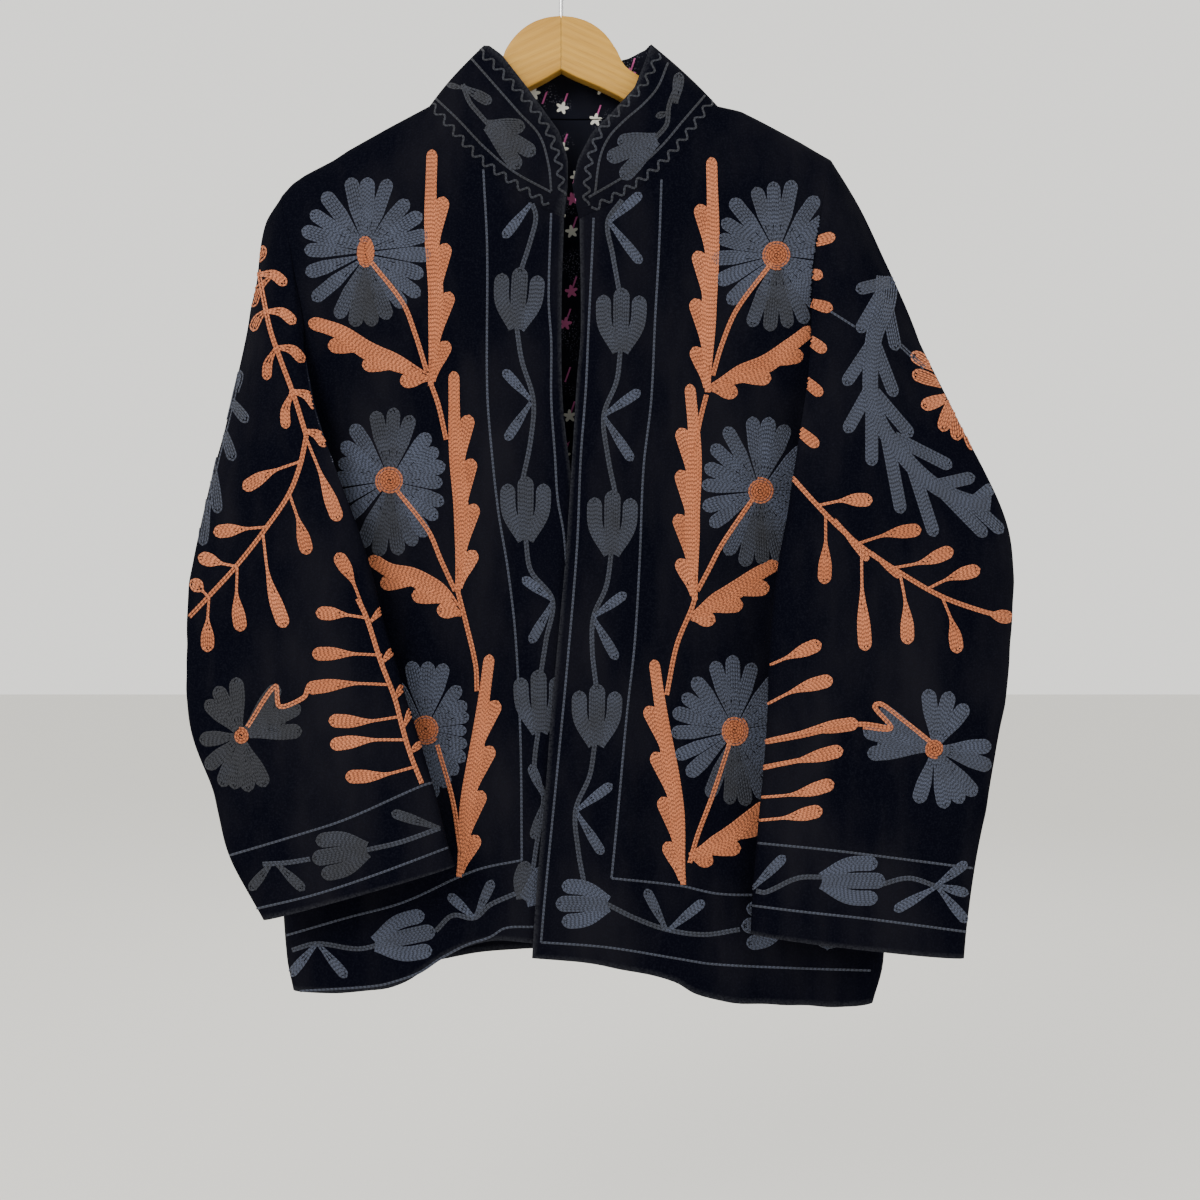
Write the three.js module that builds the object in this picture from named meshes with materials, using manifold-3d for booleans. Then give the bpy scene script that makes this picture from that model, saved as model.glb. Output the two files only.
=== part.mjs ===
// Embroidered velvet jacket, open at the front, on a two-piece wooden hanger.
// Millimetres. +Z is up, -Y is the front, and the origin is the inside top of the hanger's hook.
// "right" and "left" in the pieces' names are the wearer's: right_front lies on the -X side.
import * as THREE from 'three';
import { mergeVertices } from 'three/addons/utils/BufferGeometryUtils.js';
import Module from 'manifold-3d';

// ---- driving dimensions ------------------------------------------------------------------
const CLOTH_WALL = 2.0;          // velvet with its own lining, one wall
const SEAM_GAP = 0.3;            // air between neighbouring cloth pieces at a seam
const FRONT_FULLNESS = 30;       // how far the fronts stand out from the plane of the shoulders
const BACK_FULLNESS = 25;
const RIDGE_ROUND = 12;          // radius of the cloth where it rolls over the shoulder
const SIDE_ROUND = 7;            // and where it rolls round the side seam
const LAP = 3.8;                 // the left front lies this much in front of the right one
const LAP_FROM = 75, LAP_FULL = 42;   // x where the lap's step starts and is whole
const COLLAR_WALL = 1.5, FACING_WALL = 1.2, FACING_AIR = 1.1, COLLAR_ROLL = 2.5;
const LINING_WALL = 1.2, LINING_AIR = 1.1;
const WOOD_HALF = 7.0;           // half the hanger's thickness
const WIRE = 1.8;                // radius of the hook's wire
const HOOK_INNER = 20;           // inner radius of the hook

// ---- the fall of the jacket: [x, z] along each edge ----------------------------------------
const RIGHT_TIP = [-222, -208], LEFT_TIP = [215, -180];          // ends of the shoulder seams
const RIGHT_NECK = [-105, -137], LEFT_NECK = [125, -137];        // neck ends of the shoulder seams
const RIGHT_UNDERARM = [-218, -400], LEFT_UNDERARM = [231, -400];
const RIDGE = [[-222, -208], [-214, -199], [-204, -192], [-181, -180], [-169, -172], [-137, -154],
  [-105, -137], [0, -72], [125, -137], [143, -141], [159, -149], [191, -166], [201, -172],
  [215, -180], [225, -190]];
const RIGHT_NECKLINE = [RIGHT_NECK, [-96, -151], [-83, -171], [-62, -190], [-36, -210], [-16, -224],
  [3, -232]];
const LEFT_NECKLINE = [LEFT_NECK, [115, -149], [109, -159], [95, -182], [78, -197], [55, -213],
  [34, -225], [15, -234]];
const BACK_NECKLINE = [RIGHT_NECK, [-94, -137], [-50, -139], [3, -140], [60, -139], [110, -136],
  LEFT_NECK];
const RIGHT_EDGE = [[3, -232], [1, -298], [2, -376], [9, -438], [16, -500], [23, -558], [27, -662],
  [29, -735], [30, -804]];
const LEFT_EDGE = [[15, -234], [16, -322], [13, -360], [11, -393], [7, -456], [4, -500], [-1, -555],
  [-7, -620], [-12, -685], [-18, -751], [-22, -810]];
const RIGHT_HEM = [[-214, -842], [-177, -840], [-143, -836], [-120, -829], [-107, -821], [-91, -810],
  [-73, -802], [-51, -797], [-24, -799], [4, -802], [30, -804]];
const LEFT_HEM = [[249, -852], [231, -852], [180, -848], [128, -844], [106, -839], [90, -830],
  [62, -822], [23, -814], [-22, -810]];
const BACK_HEM = [[-214, -842], [-150, -836], [-60, -822], [30, -820], [120, -832], [200, -846],
  [249, -852]];
const RIGHT_SIDE = [RIGHT_UNDERARM, [-222, -531], [-225, -675], [-223, -760], [-219, -818],
  [-214, -842]];
const LEFT_SIDE = [LEFT_UNDERARM, [241, -531], [251, -691], [258, -790], [257, -823], [249, -852]];
const RIGHT_ARMHOLE = [RIGHT_TIP, [-217, -231], [-212, -252], [-207, -281], [-201, -312],
  [-201, -343], [-207, -374], RIGHT_UNDERARM];
const LEFT_ARMHOLE = [LEFT_TIP, [208, -207], [202, -240], [197, -281], [196, -320], [203, -359],
  [216, -385], LEFT_UNDERARM];
const RIGHT_BACK_ARMHOLE = [RIGHT_TIP, [-221, -226], [-219, -244], [-217, -280], [-214, -320],
  [-213, -357], [-215, -382], RIGHT_UNDERARM];
const LEFT_BACK_ARMHOLE = [LEFT_TIP, [213, -201], [210, -236], [207, -276], [207, -316], [213, -357],
  [222, -382], LEFT_UNDERARM];

// A hanging sleeve folds forward over the body: its front layer hangs from the upper part of the
// front armhole, and its back layer from the rest of the armhole. The first rings are drawn point
// by point [x, y, z]: the front layer from outer to inner fold, the back layer from inner to outer.
const RIGHT_HEAD = [
  { front: [[-236, -3, -232], [-224, -24, -262], [-209, -32, -298], [-198, -34, -338]],
    back: [[-198, -34, -338], [-204, -32, -364], [-212, -22, -391], [-221, -7, -406], [-228, 10, -388],
      [-229, 22, -340], [-231, 18, -280], [-236, -3, -232]] },
  { front: [[-243, -6, -284], [-230, -32, -318], [-209, -42, -352], [-188, -43, -384]],
    back: [[-188, -43, -384], [-197, -39, -402], [-211, -28, -413], [-224, -14, -412], [-236, 2, -390],
      [-242, 9, -345], [-243, -6, -284]] },
  { front: [[-256, -13, -355], [-238, -40, -388], [-208, -50, -418], [-168, -50, -441]],
    back: [[-168, -50, -441], [-188, -43, -452], [-207, -32, -450], [-226, -20, -438], [-243, -8, -412],
      [-256, -13, -355]] }];
const LEFT_HEAD = [
  { front: [[236, -3, -221], [222, -24, -240], [206, -32, -270], [196, -34, -302]],
    back: [[196, -34, -302], [198, -33, -340], [208, -28, -376], [224, -17, -403], [238, -4, -411],
      [237, 12, -385], [224, 24, -335], [224, 19, -260], [236, -3, -221]] },
  { front: [[252, -8, -262], [234, -36, -292], [210, -43, -325], [192.5, -40, -352]],
    back: [[192.5, -40, -352], [197, -39, -385], [210, -32, -402], [228, -16, -408], [243, -2, -394],
      [252, 8, -355], [254, 4, -305], [252, -8, -262]] },
  { front: [[280, -15, -320], [256, -42, -352], [220, -50, -385], [184, -47, -407]],
    back: [[184, -47, -407], [197, -43, -420], [216, -34, -421], [238, -20, -412], [260, -6, -380],
      [274, -4, -345], [280, -15, -320]] }];

// Rings from the upper arm to the cuff: the outer and the inner fold, and half the ring's depth.
// columns: outer x, y, z, inner x, y, z, half depth
const RIGHT_SLEEVE = [
  [-273, -22, -433, -147, -52.5, -497, 16],
  [-285, -28, -494, -134, -54, -547, 15], [-290, -34, -543, -125, -55, -579, 15],
  [-289, -39, -589, -114, -56, -615, 15], [-285, -44, -630, -104, -56, -648, 14],
  [-267, -48, -677, -93, -56, -684, 14], [-253, -50, -728, -86, -56, -715, 14],
  [-227, -52, -776, -80, -56, -734, 14]];
const LEFT_SLEEVE = [
  [310, -22, -385, 174, -52, -468, 16],
  [331, -28, -430, 167, -54, -502, 15], [349, -33, -477, 162, -57, -546, 15],
  [351, -38, -530, 160, -58, -586, 15], [346, -42, -590, 158, -58, -625, 15],
  [336, -46, -647, 155, -58, -666, 14], [325, -49, -702, 151, -58, -704, 14],
  [316, -51, -752, 148, -58, -743, 14], [310, -52, -805, 146, -58, -785, 14]];

// The collar's free edge over the neck seam. columns: share of the seam, x, y, z
const COLLAR_TOP_RIGHT = [[0, 6, -35, -211], [0.14, 6, -35, -188], [0.3, -1, -33, -166],
  [0.535, -16, -28, -144], [0.73, -27, -21, -127], [0.88, -47, -12, -99], [0.95, -57, -6, -90],
  [1, -62, 2, -87]];
const COLLAR_TOP_BACK = [[0, -62, 2, -87], [0.04, -58, 9, -88], [0.12, -46, 15, -92],
  [0.25, -26, 20, -97], [0.48, 3, 23, -100], [0.72, 31, 21, -98], [0.88, 55, 15, -93],
  [0.96, 68, 9, -88], [1, 72, 2, -86]];
const COLLAR_TOP_LEFT = [[0, 10, -40, -209], [0.14, 14, -38, -189], [0.31, 25, -34, -167],
  [0.515, 41, -28, -149], [0.73, 58, -20, -128], [0.88, 66, -12, -106], [0.95, 70, -6, -94],
  [1, 72, 2, -86]];

// Soft vertical folds in the fronts and the back. columns: x, height, half width, z where it starts
const FRONT_FOLDS = [[-132, 5, 13, -640], [-176, 3, 12, -600], [138, 6, 14, -600], [176, 4, 12, -640],
  [210, 3, 10, -560]];
const BACK_FOLDS = [[-120, 5, 18, -520], [-20, 4, 20, -600], [70, 5, 18, -480], [165, 5, 16, -560]];

// The hanger's arms from the centre seam outwards. columns: distance from the seam, top z, bottom z
const RIGHT_ARM = [[0.15, -66, -109], [12, -67.5, -116], [24, -72, -122.5], [35, -80.5, -128.5],
  [44, -93, -133], [50, -110, -138], [63, -121, -145], [92, -140.5, -161], [105, -145.5, -167],
  [137, -159.8, -181], [169, -177.3, -195.5], [195, -190.8, -207.5], [205, -197.3, -210.5],
  [209, -203, -209]];
const LEFT_ARM = [[0.15, -66, -109], [12, -67.5, -115], [24, -72, -120], [35, -80.5, -125],
  [44, -93, -129.5], [51, -106, -133.5], [63, -114, -139.5], [105, -141, -161], [125, -146, -166],
  [150, -153, -174], [180, -165.6, -185], [200, -175.1, -193], [207, -180.6, -195], [210, -186, -193]];
const SHANK_FOOT = -98;          // the wire ends this deep in the wood
const HOOK_BEND = [[0, -52], [2.6, -46], [9, -40.5], [16.5, -34.5], [20.6, -27.5]];
const HOOK_END_ANGLE = 205;      // degrees round the hook's circle where the wire stops
const HOOK_STEP = 15;

// ---- small helpers -------------------------------------------------------------------------
const clamp = (value, low, high) => Math.min(high, Math.max(low, value));
const smooth = (t) => { const c = clamp(t, 0, 1); return c * c * (3 - 2 * c); };
const lerp = (a, b, t) => a + (b - a) * t;

/** Piecewise straight value of a table of [x, value] rows, sorted by x. */
function lookup(rows, x) {
  let i = 0;
  while (i < rows.length - 2 && rows[i + 1][0] < x) i += 1;
  const [a, b] = [rows[i], rows[i + 1]];
  return lerp(a[1], b[1], clamp((x - a[0]) / (b[0] - a[0]), -2, 2));
}

/** A smooth curve through points of any dimension; t runs 0..1 by length. */
function spline(points) {
  const length = [0];
  for (let i = 1; i < points.length; i += 1) {
    length.push(length[i - 1] + Math.hypot(...points[i].map((v, k) => v - points[i - 1][k])));
  }
  return (t) => {
    const s = clamp(t, 0, 1) * length[length.length - 1];
    let i = 0;
    while (i < points.length - 2 && length[i + 1] < s) i += 1;
    const span = length[i + 1] - length[i];
    const w = (s - length[i]) / span;
    return points[i].map((_, k) => {
      const slope = (j) => {
        const lo = Math.max(j - 1, 0), hi = Math.min(j + 1, points.length - 1);
        return (points[hi][k] - points[lo][k]) / (length[hi] - length[lo]) * span;
      };
      const [p, q, m, n] = [points[i][k], points[i + 1][k], slope(i), slope(i + 1)];
      const w2 = w * w, w3 = w2 * w;
      return p * (2 * w3 - 3 * w2 + 1) + m * (w3 - 2 * w2 + w) + q * (3 * w2 - 2 * w3) + n * (w3 - w2);
    });
  };
}

/** Even steps 0..1 made denser at the start, at the end or at both. */
const steps = (n, ease) => Array.from({ length: n + 1 }, (_, i) => ease(i / n));
const bothEnds = (t) => (1 - Math.cos(Math.PI * t)) / 2;
const atStart = (t) => t ** 1.9;
const atNeck = (t) => t ** 1.4;
const evenly = (t) => t;

// ---- the depth of the hanging cloth --------------------------------------------------------
const ridgeHeight = (x) => lookup(RIDGE, x);

/** x of the jacket's side at height z; above the underarm it runs outwards out of the way. */
function sideX(side, underarm, outward, z) {
  if (z > underarm[1]) return underarm[0] + outward * (z - underarm[1]);
  const rows = side.map(([x, h]) => [-h, x]);
  return lookup(rows, -z);
}

const roll = (distance, radius, full) =>
  Math.sqrt(1 - Math.exp(-2 * radius * Math.max(distance, 0) / (full * full)));

/** How far the cloth stands out from the shoulder plane at (x, z). */
function fullness(x, z, full) {
  const top = roll(ridgeHeight(x) - z, RIDGE_ROUND, full);
  const right = roll(x - sideX(RIGHT_SIDE, RIGHT_UNDERARM, -1, z), SIDE_ROUND, full);
  const left = roll(sideX(LEFT_SIDE, LEFT_UNDERARM, 1, z) - x, SIDE_ROUND, full);
  return full * top * right * left;
}

function folds(rows, x, z) {
  const FOLD_RUN = 160;          // a fold reaches its full height over this length
  return rows.reduce((sum, [at, high, half, start]) =>
    sum + high * smooth((start - z) / FOLD_RUN) * Math.exp(-(((x - at) / half) ** 2)), 0);
}

const rightFrontY = (x, z) => -SEAM_GAP - fullness(x, z, FRONT_FULLNESS) - folds(FRONT_FOLDS, x, z)
  * roll(x - sideX(RIGHT_SIDE, RIGHT_UNDERARM, -1, z), SIDE_ROUND, FRONT_FULLNESS);
const leftFrontY = (x, z) => -SEAM_GAP - fullness(x, z, FRONT_FULLNESS) - folds(FRONT_FOLDS, x, z)
  * roll(sideX(LEFT_SIDE, LEFT_UNDERARM, 1, z) - x, SIDE_ROUND, FRONT_FULLNESS)
  - LAP * smooth((LAP_FROM - x) / (LAP_FROM - LAP_FULL));
const backY = (x, z) => SEAM_GAP + fullness(x, z, BACK_FULLNESS)
  + folds(BACK_FOLDS, x, z) * fullness(x, z, 1);

// ---- solids --------------------------------------------------------------------------------
/** A closed wall over a grid of outer points [row][column]; closed in the column way if ring. */
function wall(outer, thickness, { flip = false, ring = false, keep = (p) => p, air = 0 } = {}) {
  const rows = outer.length, cols = outer[0].length;
  const vec = (i, j) => new THREE.Vector3(...outer[i][ring ? (j + cols) % cols : clamp(j, 0, cols - 1)]);
  const normal = (i, j) => {
    const down = vec(Math.min(i + 1, rows - 1), j).sub(vec(Math.max(i - 1, 0), j));
    const across = vec(i, j + 1).sub(vec(i, j - 1));
    const n = across.cross(down).normalize();
    return flip ? n.negate() : n;
  };
  const at = (depth) => outer.map((row, i) => row.map((p, j) =>
    keep(new THREE.Vector3(...p).addScaledVector(normal(i, j), -depth), i, p)));
  const skins = [at(air), at(air + thickness)];
  const corners = [];
  const quad = (a, b, c, d) => corners.push(a, b, c, a, c, d);
  const last = ring ? cols : cols - 1;
  skins.forEach((skin, side) => {
    for (let i = 0; i < rows - 1; i += 1) {
      for (let j = 0; j < last; j += 1) {
        const k = (j + 1) % cols;
        const loop = [skin[i][j], skin[i][k], skin[i + 1][k], skin[i + 1][j]];
        quad(...((side === 0) === flip ? loop.reverse() : loop));
      }
    }
  });
  const rim = (a, b) => {
    const loop = [skins[0][a[0]][a[1]], skins[0][b[0]][b[1]], skins[1][b[0]][b[1]], skins[1][a[0]][a[1]]];
    quad(...(flip ? loop : loop.reverse()));
  };
  for (let j = 0; j < last; j += 1) {
    const k = (j + 1) % cols;
    rim([0, j], [0, k]);
    rim([rows - 1, k], [rows - 1, j]);
  }
  if (!ring) {
    for (let i = 0; i < rows - 1; i += 1) {
      rim([i, cols - 1], [i + 1, cols - 1]);
      rim([i + 1, 0], [i, 0]);
    }
  }
  const geometry = new THREE.BufferGeometry().setFromPoints(corners);
  return mergeVertices(geometry, 1e-4);
}

/** Flat pattern of a panel: a patch blended between its four edges, each a curve of [x, z]. */
function patch(top, bottom, left, right, us, vs) {
  const corner = [top(0), top(1), bottom(0), bottom(1)];
  return vs.map((v) => us.map((u) => [0, 1].map((k) =>
    (1 - v) * top(u)[k] + v * bottom(u)[k] + (1 - u) * left(v)[k] + u * right(v)[k]
    - (1 - u) * (1 - v) * corner[0][k] - u * (1 - v) * corner[1][k]
    - (1 - u) * v * corner[2][k] - u * v * corner[3][k])));
}

/** Two or more curves joined end to end at the given shares of 0..1. */
const joined = (shares, curves) => (t) => {
  let i = 0;
  while (i < curves.length - 1 && t > shares[i + 1]) i += 1;
  return curves[i]((t - shares[i]) / (shares[i + 1] - shares[i]));
};

const shoulder = (tip, neck) => (t) => { const x = lerp(tip[0], neck[0], t); return [x, ridgeHeight(x)]; };
const lifted = (flat, depth) => flat.map((row) => row.map(([x, z]) => [x, depth(x, z), z]));

// Rows of a body panel: the armhole's share, then the side's, so that sleeve and panel agree.
const ARM_SHARE = 0.42;
const ARM_STEPS = 15, SIDE_STEPS = 12;
const RIGHT_FOLD_STEP = 8, LEFT_FOLD_STEP = 7;   // the armhole's step where the front layer ends
const armRows = steps(ARM_STEPS, bothEnds);
const bodyRows = [...armRows.map((t) => t * ARM_SHARE),
  ...steps(SIDE_STEPS, evenly).slice(1).map((t) => ARM_SHARE + t * (1 - ARM_SHARE))];
const NECK_SHARE = 0.5;          // a front's columns: shoulder first, then the neckline
const FRONT_STEPS = 8;
const frontCols = [...steps(FRONT_STEPS, atStart).map((t) => t * NECK_SHARE),
  ...steps(FRONT_STEPS, atNeck).slice(1).map((t) => NECK_SHARE + t * (1 - NECK_SHARE))];
const BACK_NECK = [0.3, 0.7];    // a back's columns: shoulder, neckline, shoulder
const backCols = [...steps(FRONT_STEPS, atStart).map((t) => t * BACK_NECK[0]),
  ...steps(FRONT_STEPS, bothEnds).slice(1).map((t) => lerp(BACK_NECK[0], BACK_NECK[1], t)),
  ...steps(FRONT_STEPS, atStart).map((t) => 1 - t * (1 - BACK_NECK[1])).reverse().slice(1)];

function frontFlat(tip, neck, neckline, edge, hem, armhole, side) {
  const top = joined([0, NECK_SHARE, 1], [shoulder(tip, neck), spline(neckline)]);
  const outside = joined([0, ARM_SHARE, 1], [spline(armhole), spline(side)]);
  return patch(top, spline(hem), outside, spline(edge), frontCols, bodyRows);
}

function backFlat() {
  const top = joined([0, ...BACK_NECK, 1], [shoulder(RIGHT_TIP, RIGHT_NECK), spline(BACK_NECKLINE),
    shoulder(LEFT_NECK, LEFT_TIP)]);
  const right = joined([0, ARM_SHARE, 1], [spline(RIGHT_BACK_ARMHOLE), spline(RIGHT_SIDE)]);
  const left = joined([0, ARM_SHARE, 1], [spline(LEFT_BACK_ARMHOLE), spline(LEFT_SIDE)]);
  return patch(top, spline(BACK_HEM), right, left, backCols, bodyRows);
}

const rightFlat = frontFlat(RIGHT_TIP, RIGHT_NECK, RIGHT_NECKLINE, RIGHT_EDGE, RIGHT_HEM,
  RIGHT_ARMHOLE, RIGHT_SIDE);
const leftFlat = frontFlat(LEFT_TIP, LEFT_NECK, LEFT_NECKLINE, LEFT_EDGE, LEFT_HEM,
  LEFT_ARMHOLE, LEFT_SIDE);
const inFront = (p) => p.setY(Math.min(p.y, -SEAM_GAP));
const behind = (p) => p.setY(Math.max(p.y, SEAM_GAP));

const rightFront = () => wall(lifted(rightFlat, rightFrontY), CLOTH_WALL, { flip: true, keep: inFront });
const leftFront = () => wall(lifted(leftFlat, leftFrontY), CLOTH_WALL, { keep: inFront });
const back = () => wall(lifted(backFlat(), backY), CLOTH_WALL, { keep: behind });

/** The back's lining: the same pattern cut smaller, lying just inside the back. */
function backLining() {
  const TOP_ROW = 2, BOTTOM_ROW = 1, SIDE_COL = 2;
  const flat = backFlat();
  const cut = lifted(flat, backY).slice(TOP_ROW, flat.length - BOTTOM_ROW)
    .map((row) => row.slice(SIDE_COL, row.length - SIDE_COL));
  return wall(cut, LINING_WALL, { keep: behind, air: CLOTH_WALL + LINING_AIR });
}

/** A sleeve: the armhole's own points, then the drawn rings of its head, then the plain rings. */
function sleeve(head, rings, { outward, front, frontY, backCurve, foldStep }) {
  const SQUARE = 0.85;           // under 1 the ring is fuller than an ellipse
  const OFF_SEAM = 0.75;         // the sleeve starts this far off the armhole's seam
  const BEFORE = 1.15, BEHIND = 0.7;   // the ring's depth before and behind its folds
  const seam = (curve, depth, rows) => rows.map((t) => {
    const [x, z] = curve(t);
    return [x + outward * OFF_SEAM, depth(x, z), z];
  });
  const armhole = [...seam(front, frontY, armRows),
    ...seam(backCurve, backY, armRows.slice(1, -1).reverse())];
  const loop = (frontLine, backLine) => [...steps(foldStep, evenly).map(frontLine),
    ...steps(armhole.length - foldStep, evenly).slice(1, -1).map(backLine)];
  const drawn = head.map((ring) => {
    const [before, after] = [spline(ring.front), spline(ring.back)];
    return loop((t) => before(bothEnds(t)), after);
  });
  const plain = rings.map(([xo, yo, zo, xi, yi, zi, half]) => {
    const point = (t, side) => {
      const s = bothEnds(t);
      const depth = half * Math.sin(Math.PI * t) ** SQUARE;
      return [lerp(xo, xi, s), lerp(yo, yi, s) + side * depth, lerp(zo, zi, s)];
    };
    return loop((t) => point(t, -BEFORE), (t) => point(1 - t, BEHIND));
  });
  const offSeam = (p, row, start) =>
    (row === 0 ? p.setX(outward * Math.max(outward * p.x, outward * start[0])) : p);
  return wall([armhole, ...drawn, ...plain], CLOTH_WALL, { ring: true, flip: outward < 0, keep: offSeam });
}

const rightSleeve = () => sleeve(RIGHT_HEAD, RIGHT_SLEEVE, { outward: -1, front: spline(RIGHT_ARMHOLE),
  frontY: rightFrontY, backCurve: spline(RIGHT_BACK_ARMHOLE), foldStep: RIGHT_FOLD_STEP });
const leftSleeve = () => sleeve(LEFT_HEAD, LEFT_SLEEVE, { outward: 1, front: spline(LEFT_ARMHOLE),
  frontY: leftFrontY, backCurve: spline(LEFT_BACK_ARMHOLE), foldStep: LEFT_FOLD_STEP });

/** Points of the neck seam with the free edge above each, from the right end round to the left. */
function collarRuns() {
  const SEAT = 1.1;              // the collar stands this far above the neck seam
  const run = (seam, depth, edge, ease, share) => steps(FRONT_STEPS, ease).map((t) => {
    const [x, z] = seam(t);
    const top = [1, 2, 3].map((k) => lookup(edge.map((row) => [row[0], row[k]]), share(t)));
    return { foot: new THREE.Vector3(x, depth(x, z), z), top: new THREE.Vector3(...top) };
  });
  const fromNeck = (t) => 1 - t;
  const runs = [
    ...run(spline(RIGHT_NECKLINE), rightFrontY, COLLAR_TOP_RIGHT, atNeck, fromNeck).reverse(),
    ...run(spline(BACK_NECKLINE), backY, COLLAR_TOP_BACK, bothEnds, evenly).slice(1, -1),
    ...run(spline(LEFT_NECKLINE), leftFrontY, COLLAR_TOP_LEFT, atNeck, fromNeck)];
  runs.forEach((r) => r.foot.addScaledVector(r.top.clone().sub(r.foot).normalize(), SEAT));
  return runs;
}

function collarGrid() {
  const ROWS = 5;
  const runs = collarRuns();
  const centre = new THREE.Vector3(8, 0, 0);
  return steps(ROWS, evenly).map((w) => runs.map(({ foot, top }) => {
    const p = foot.clone().lerp(top, w);
    const out = p.clone().sub(centre).setZ(0).normalize();
    return p.addScaledVector(out, COLLAR_ROLL * Math.sin(Math.PI * w)).toArray();
  }));
}

const collar = () => wall(collarGrid(), COLLAR_WALL, { flip: true });
const collarFacing = () => wall(collarGrid(), FACING_WALL, { flip: true, air: COLLAR_WALL + FACING_AIR });

// ---- hanger --------------------------------------------------------------------------------
const wasm = await Module();
wasm.setup();

function toSolid(geometry) {
  const bare = geometry.clone();
  bare.deleteAttribute('normal');
  bare.deleteAttribute('uv');
  const merged = mergeVertices(bare, 1e-4);
  return new wasm.Manifold(new wasm.Mesh({ numProp: 3,
    vertProperties: new Float32Array(merged.attributes.position.array),
    triVerts: new Uint32Array(merged.index.array) }));
}

function toGeometry(solid) {
  const mesh = solid.getMesh();
  const geometry = new THREE.BufferGeometry();
  geometry.setAttribute('position', new THREE.BufferAttribute(mesh.vertProperties, 3));
  geometry.setIndex(new THREE.BufferAttribute(mesh.triVerts, 1));
  return geometry;
}

/** Closed body lofted through loops of equal length; both ends are filled by a fan. */
function loft(loops) {
  const count = loops[0].length;
  const middle = (loop) => loop.reduce((sum, p) => sum.add(p), new THREE.Vector3())
    .multiplyScalar(1 / count);
  const corners = [];
  for (let i = 0; i < loops.length - 1; i += 1) {
    for (let j = 0; j < count; j += 1) {
      const k = (j + 1) % count;
      const [a, b, c, d] = [loops[i][j], loops[i][k], loops[i + 1][k], loops[i + 1][j]];
      corners.push(a, b, c, a, c, d);
    }
  }
  const [first, end] = [loops[0], loops[loops.length - 1]];
  for (let j = 0; j < count; j += 1) {
    const k = (j + 1) % count;
    corners.push(middle(first), first[k], first[j], middle(end), end[j], end[k]);
  }
  return mergeVertices(new THREE.BufferGeometry().setFromPoints(corners), 1e-4);
}

/** One arm of the hanger, flat-faced at the head and rounded where the cloth hangs on it. */
function hangerArm(rows, outward) {
  const SIDES = 16;
  const HEAD_SQUARE = 0.22, ARM_SQUARE = 0.75;   // near 0 a section is a box, at 1 an ellipse
  const HEAD_ENDS = 50, ARM_STARTS = 92;         // distances from the seam
  const loops = rows.map(([x, top, bottom]) => Array.from({ length: SIDES }, (_, j) => {
    const a = 2 * Math.PI * j / SIDES * outward;
    const square = lerp(HEAD_SQUARE, ARM_SQUARE, smooth((x - HEAD_ENDS) / (ARM_STARTS - HEAD_ENDS)));
    const soft = (v) => Math.sign(v) * Math.abs(v) ** square;
    const half = Math.min(WOOD_HALF, (top - bottom) / 2);
    return new THREE.Vector3(x * outward, half * soft(Math.cos(a)),
      (top + bottom) / 2 + (top - bottom) / 2 * soft(Math.sin(a)));
  }));
  const HOLE_SIDES = 12, HOLE_LONG = 60;
  const hole = new THREE.CylinderGeometry(WIRE + SEAM_GAP, WIRE + SEAM_GAP, HOLE_LONG, HOLE_SIDES)
    .rotateX(Math.PI / 2).translate(0, 0, SHANK_FOOT - SEAM_GAP + HOLE_LONG / 2);
  return toGeometry(toSolid(loft(loops)).subtract(toSolid(hole)));
}

/** The hook's wire: a straight shank, a bend to the side and most of a circle. */
function hangerHook() {
  const WIRE_SIDES = 12, CAP = 3;
  const radius = HOOK_INNER + WIRE;
  const line = [[0, SHANK_FOOT], [0, -75], ...HOOK_BEND];
  for (let a = -10; a <= HOOK_END_ANGLE; a += HOOK_STEP) {
    const turn = THREE.MathUtils.degToRad(a);
    line.push([radius * Math.cos(turn), -HOOK_INNER + radius * Math.sin(turn)]);
  }
  const point = (i) => new THREE.Vector3(line[i][0], 0, line[i][1]);
  const loops = [];
  const ringAt = (centre, along, scale) => {
    const side = new THREE.Vector3(along.z, 0, -along.x);
    loops.push(Array.from({ length: WIRE_SIDES }, (_, j) => {
      const a = 2 * Math.PI * j / WIRE_SIDES;
      return centre.clone().addScaledVector(side, WIRE * scale * Math.cos(a))
        .add(new THREE.Vector3(0, WIRE * scale * Math.sin(a), 0));
    }));
  };
  line.forEach((_, i) => {
    const along = point(Math.min(i + 1, line.length - 1)).sub(point(Math.max(i - 1, 0))).normalize();
    ringAt(point(i), along, 1);
    if (i === line.length - 1) {
      for (let c = 1; c < CAP; c += 1) {
        const a = Math.PI / 2 * c / CAP;
        ringAt(point(i).addScaledVector(along, WIRE * Math.sin(a)), along, Math.cos(a));
      }
    }
  });
  return loft(loops);
}

// ---- the part ------------------------------------------------------------------------------
const part = new THREE.Group();
part.name = 'embroidered_velvet_jacket_on_hanger';

const FINISH = {
  velvet: { color: 0x14151f, roughness: 0.95, metalness: 0 },
  lining: { color: 0x1a1c2c, roughness: 0.6, metalness: 0 },
  hanger_wood: { color: 0xc49a63, roughness: 0.5, metalness: 0 },
  hook_metal: { color: 0x8f8f92, roughness: 0.35, metalness: 1 },
};

function add(name, geometry, finish) {
  const flat = geometry.toNonIndexed();
  flat.computeVertexNormals();
  const mesh = new THREE.Mesh(flat, new THREE.MeshStandardMaterial({ name: finish, ...FINISH[finish] }));
  mesh.name = name;
  part.add(mesh);
}

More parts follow.
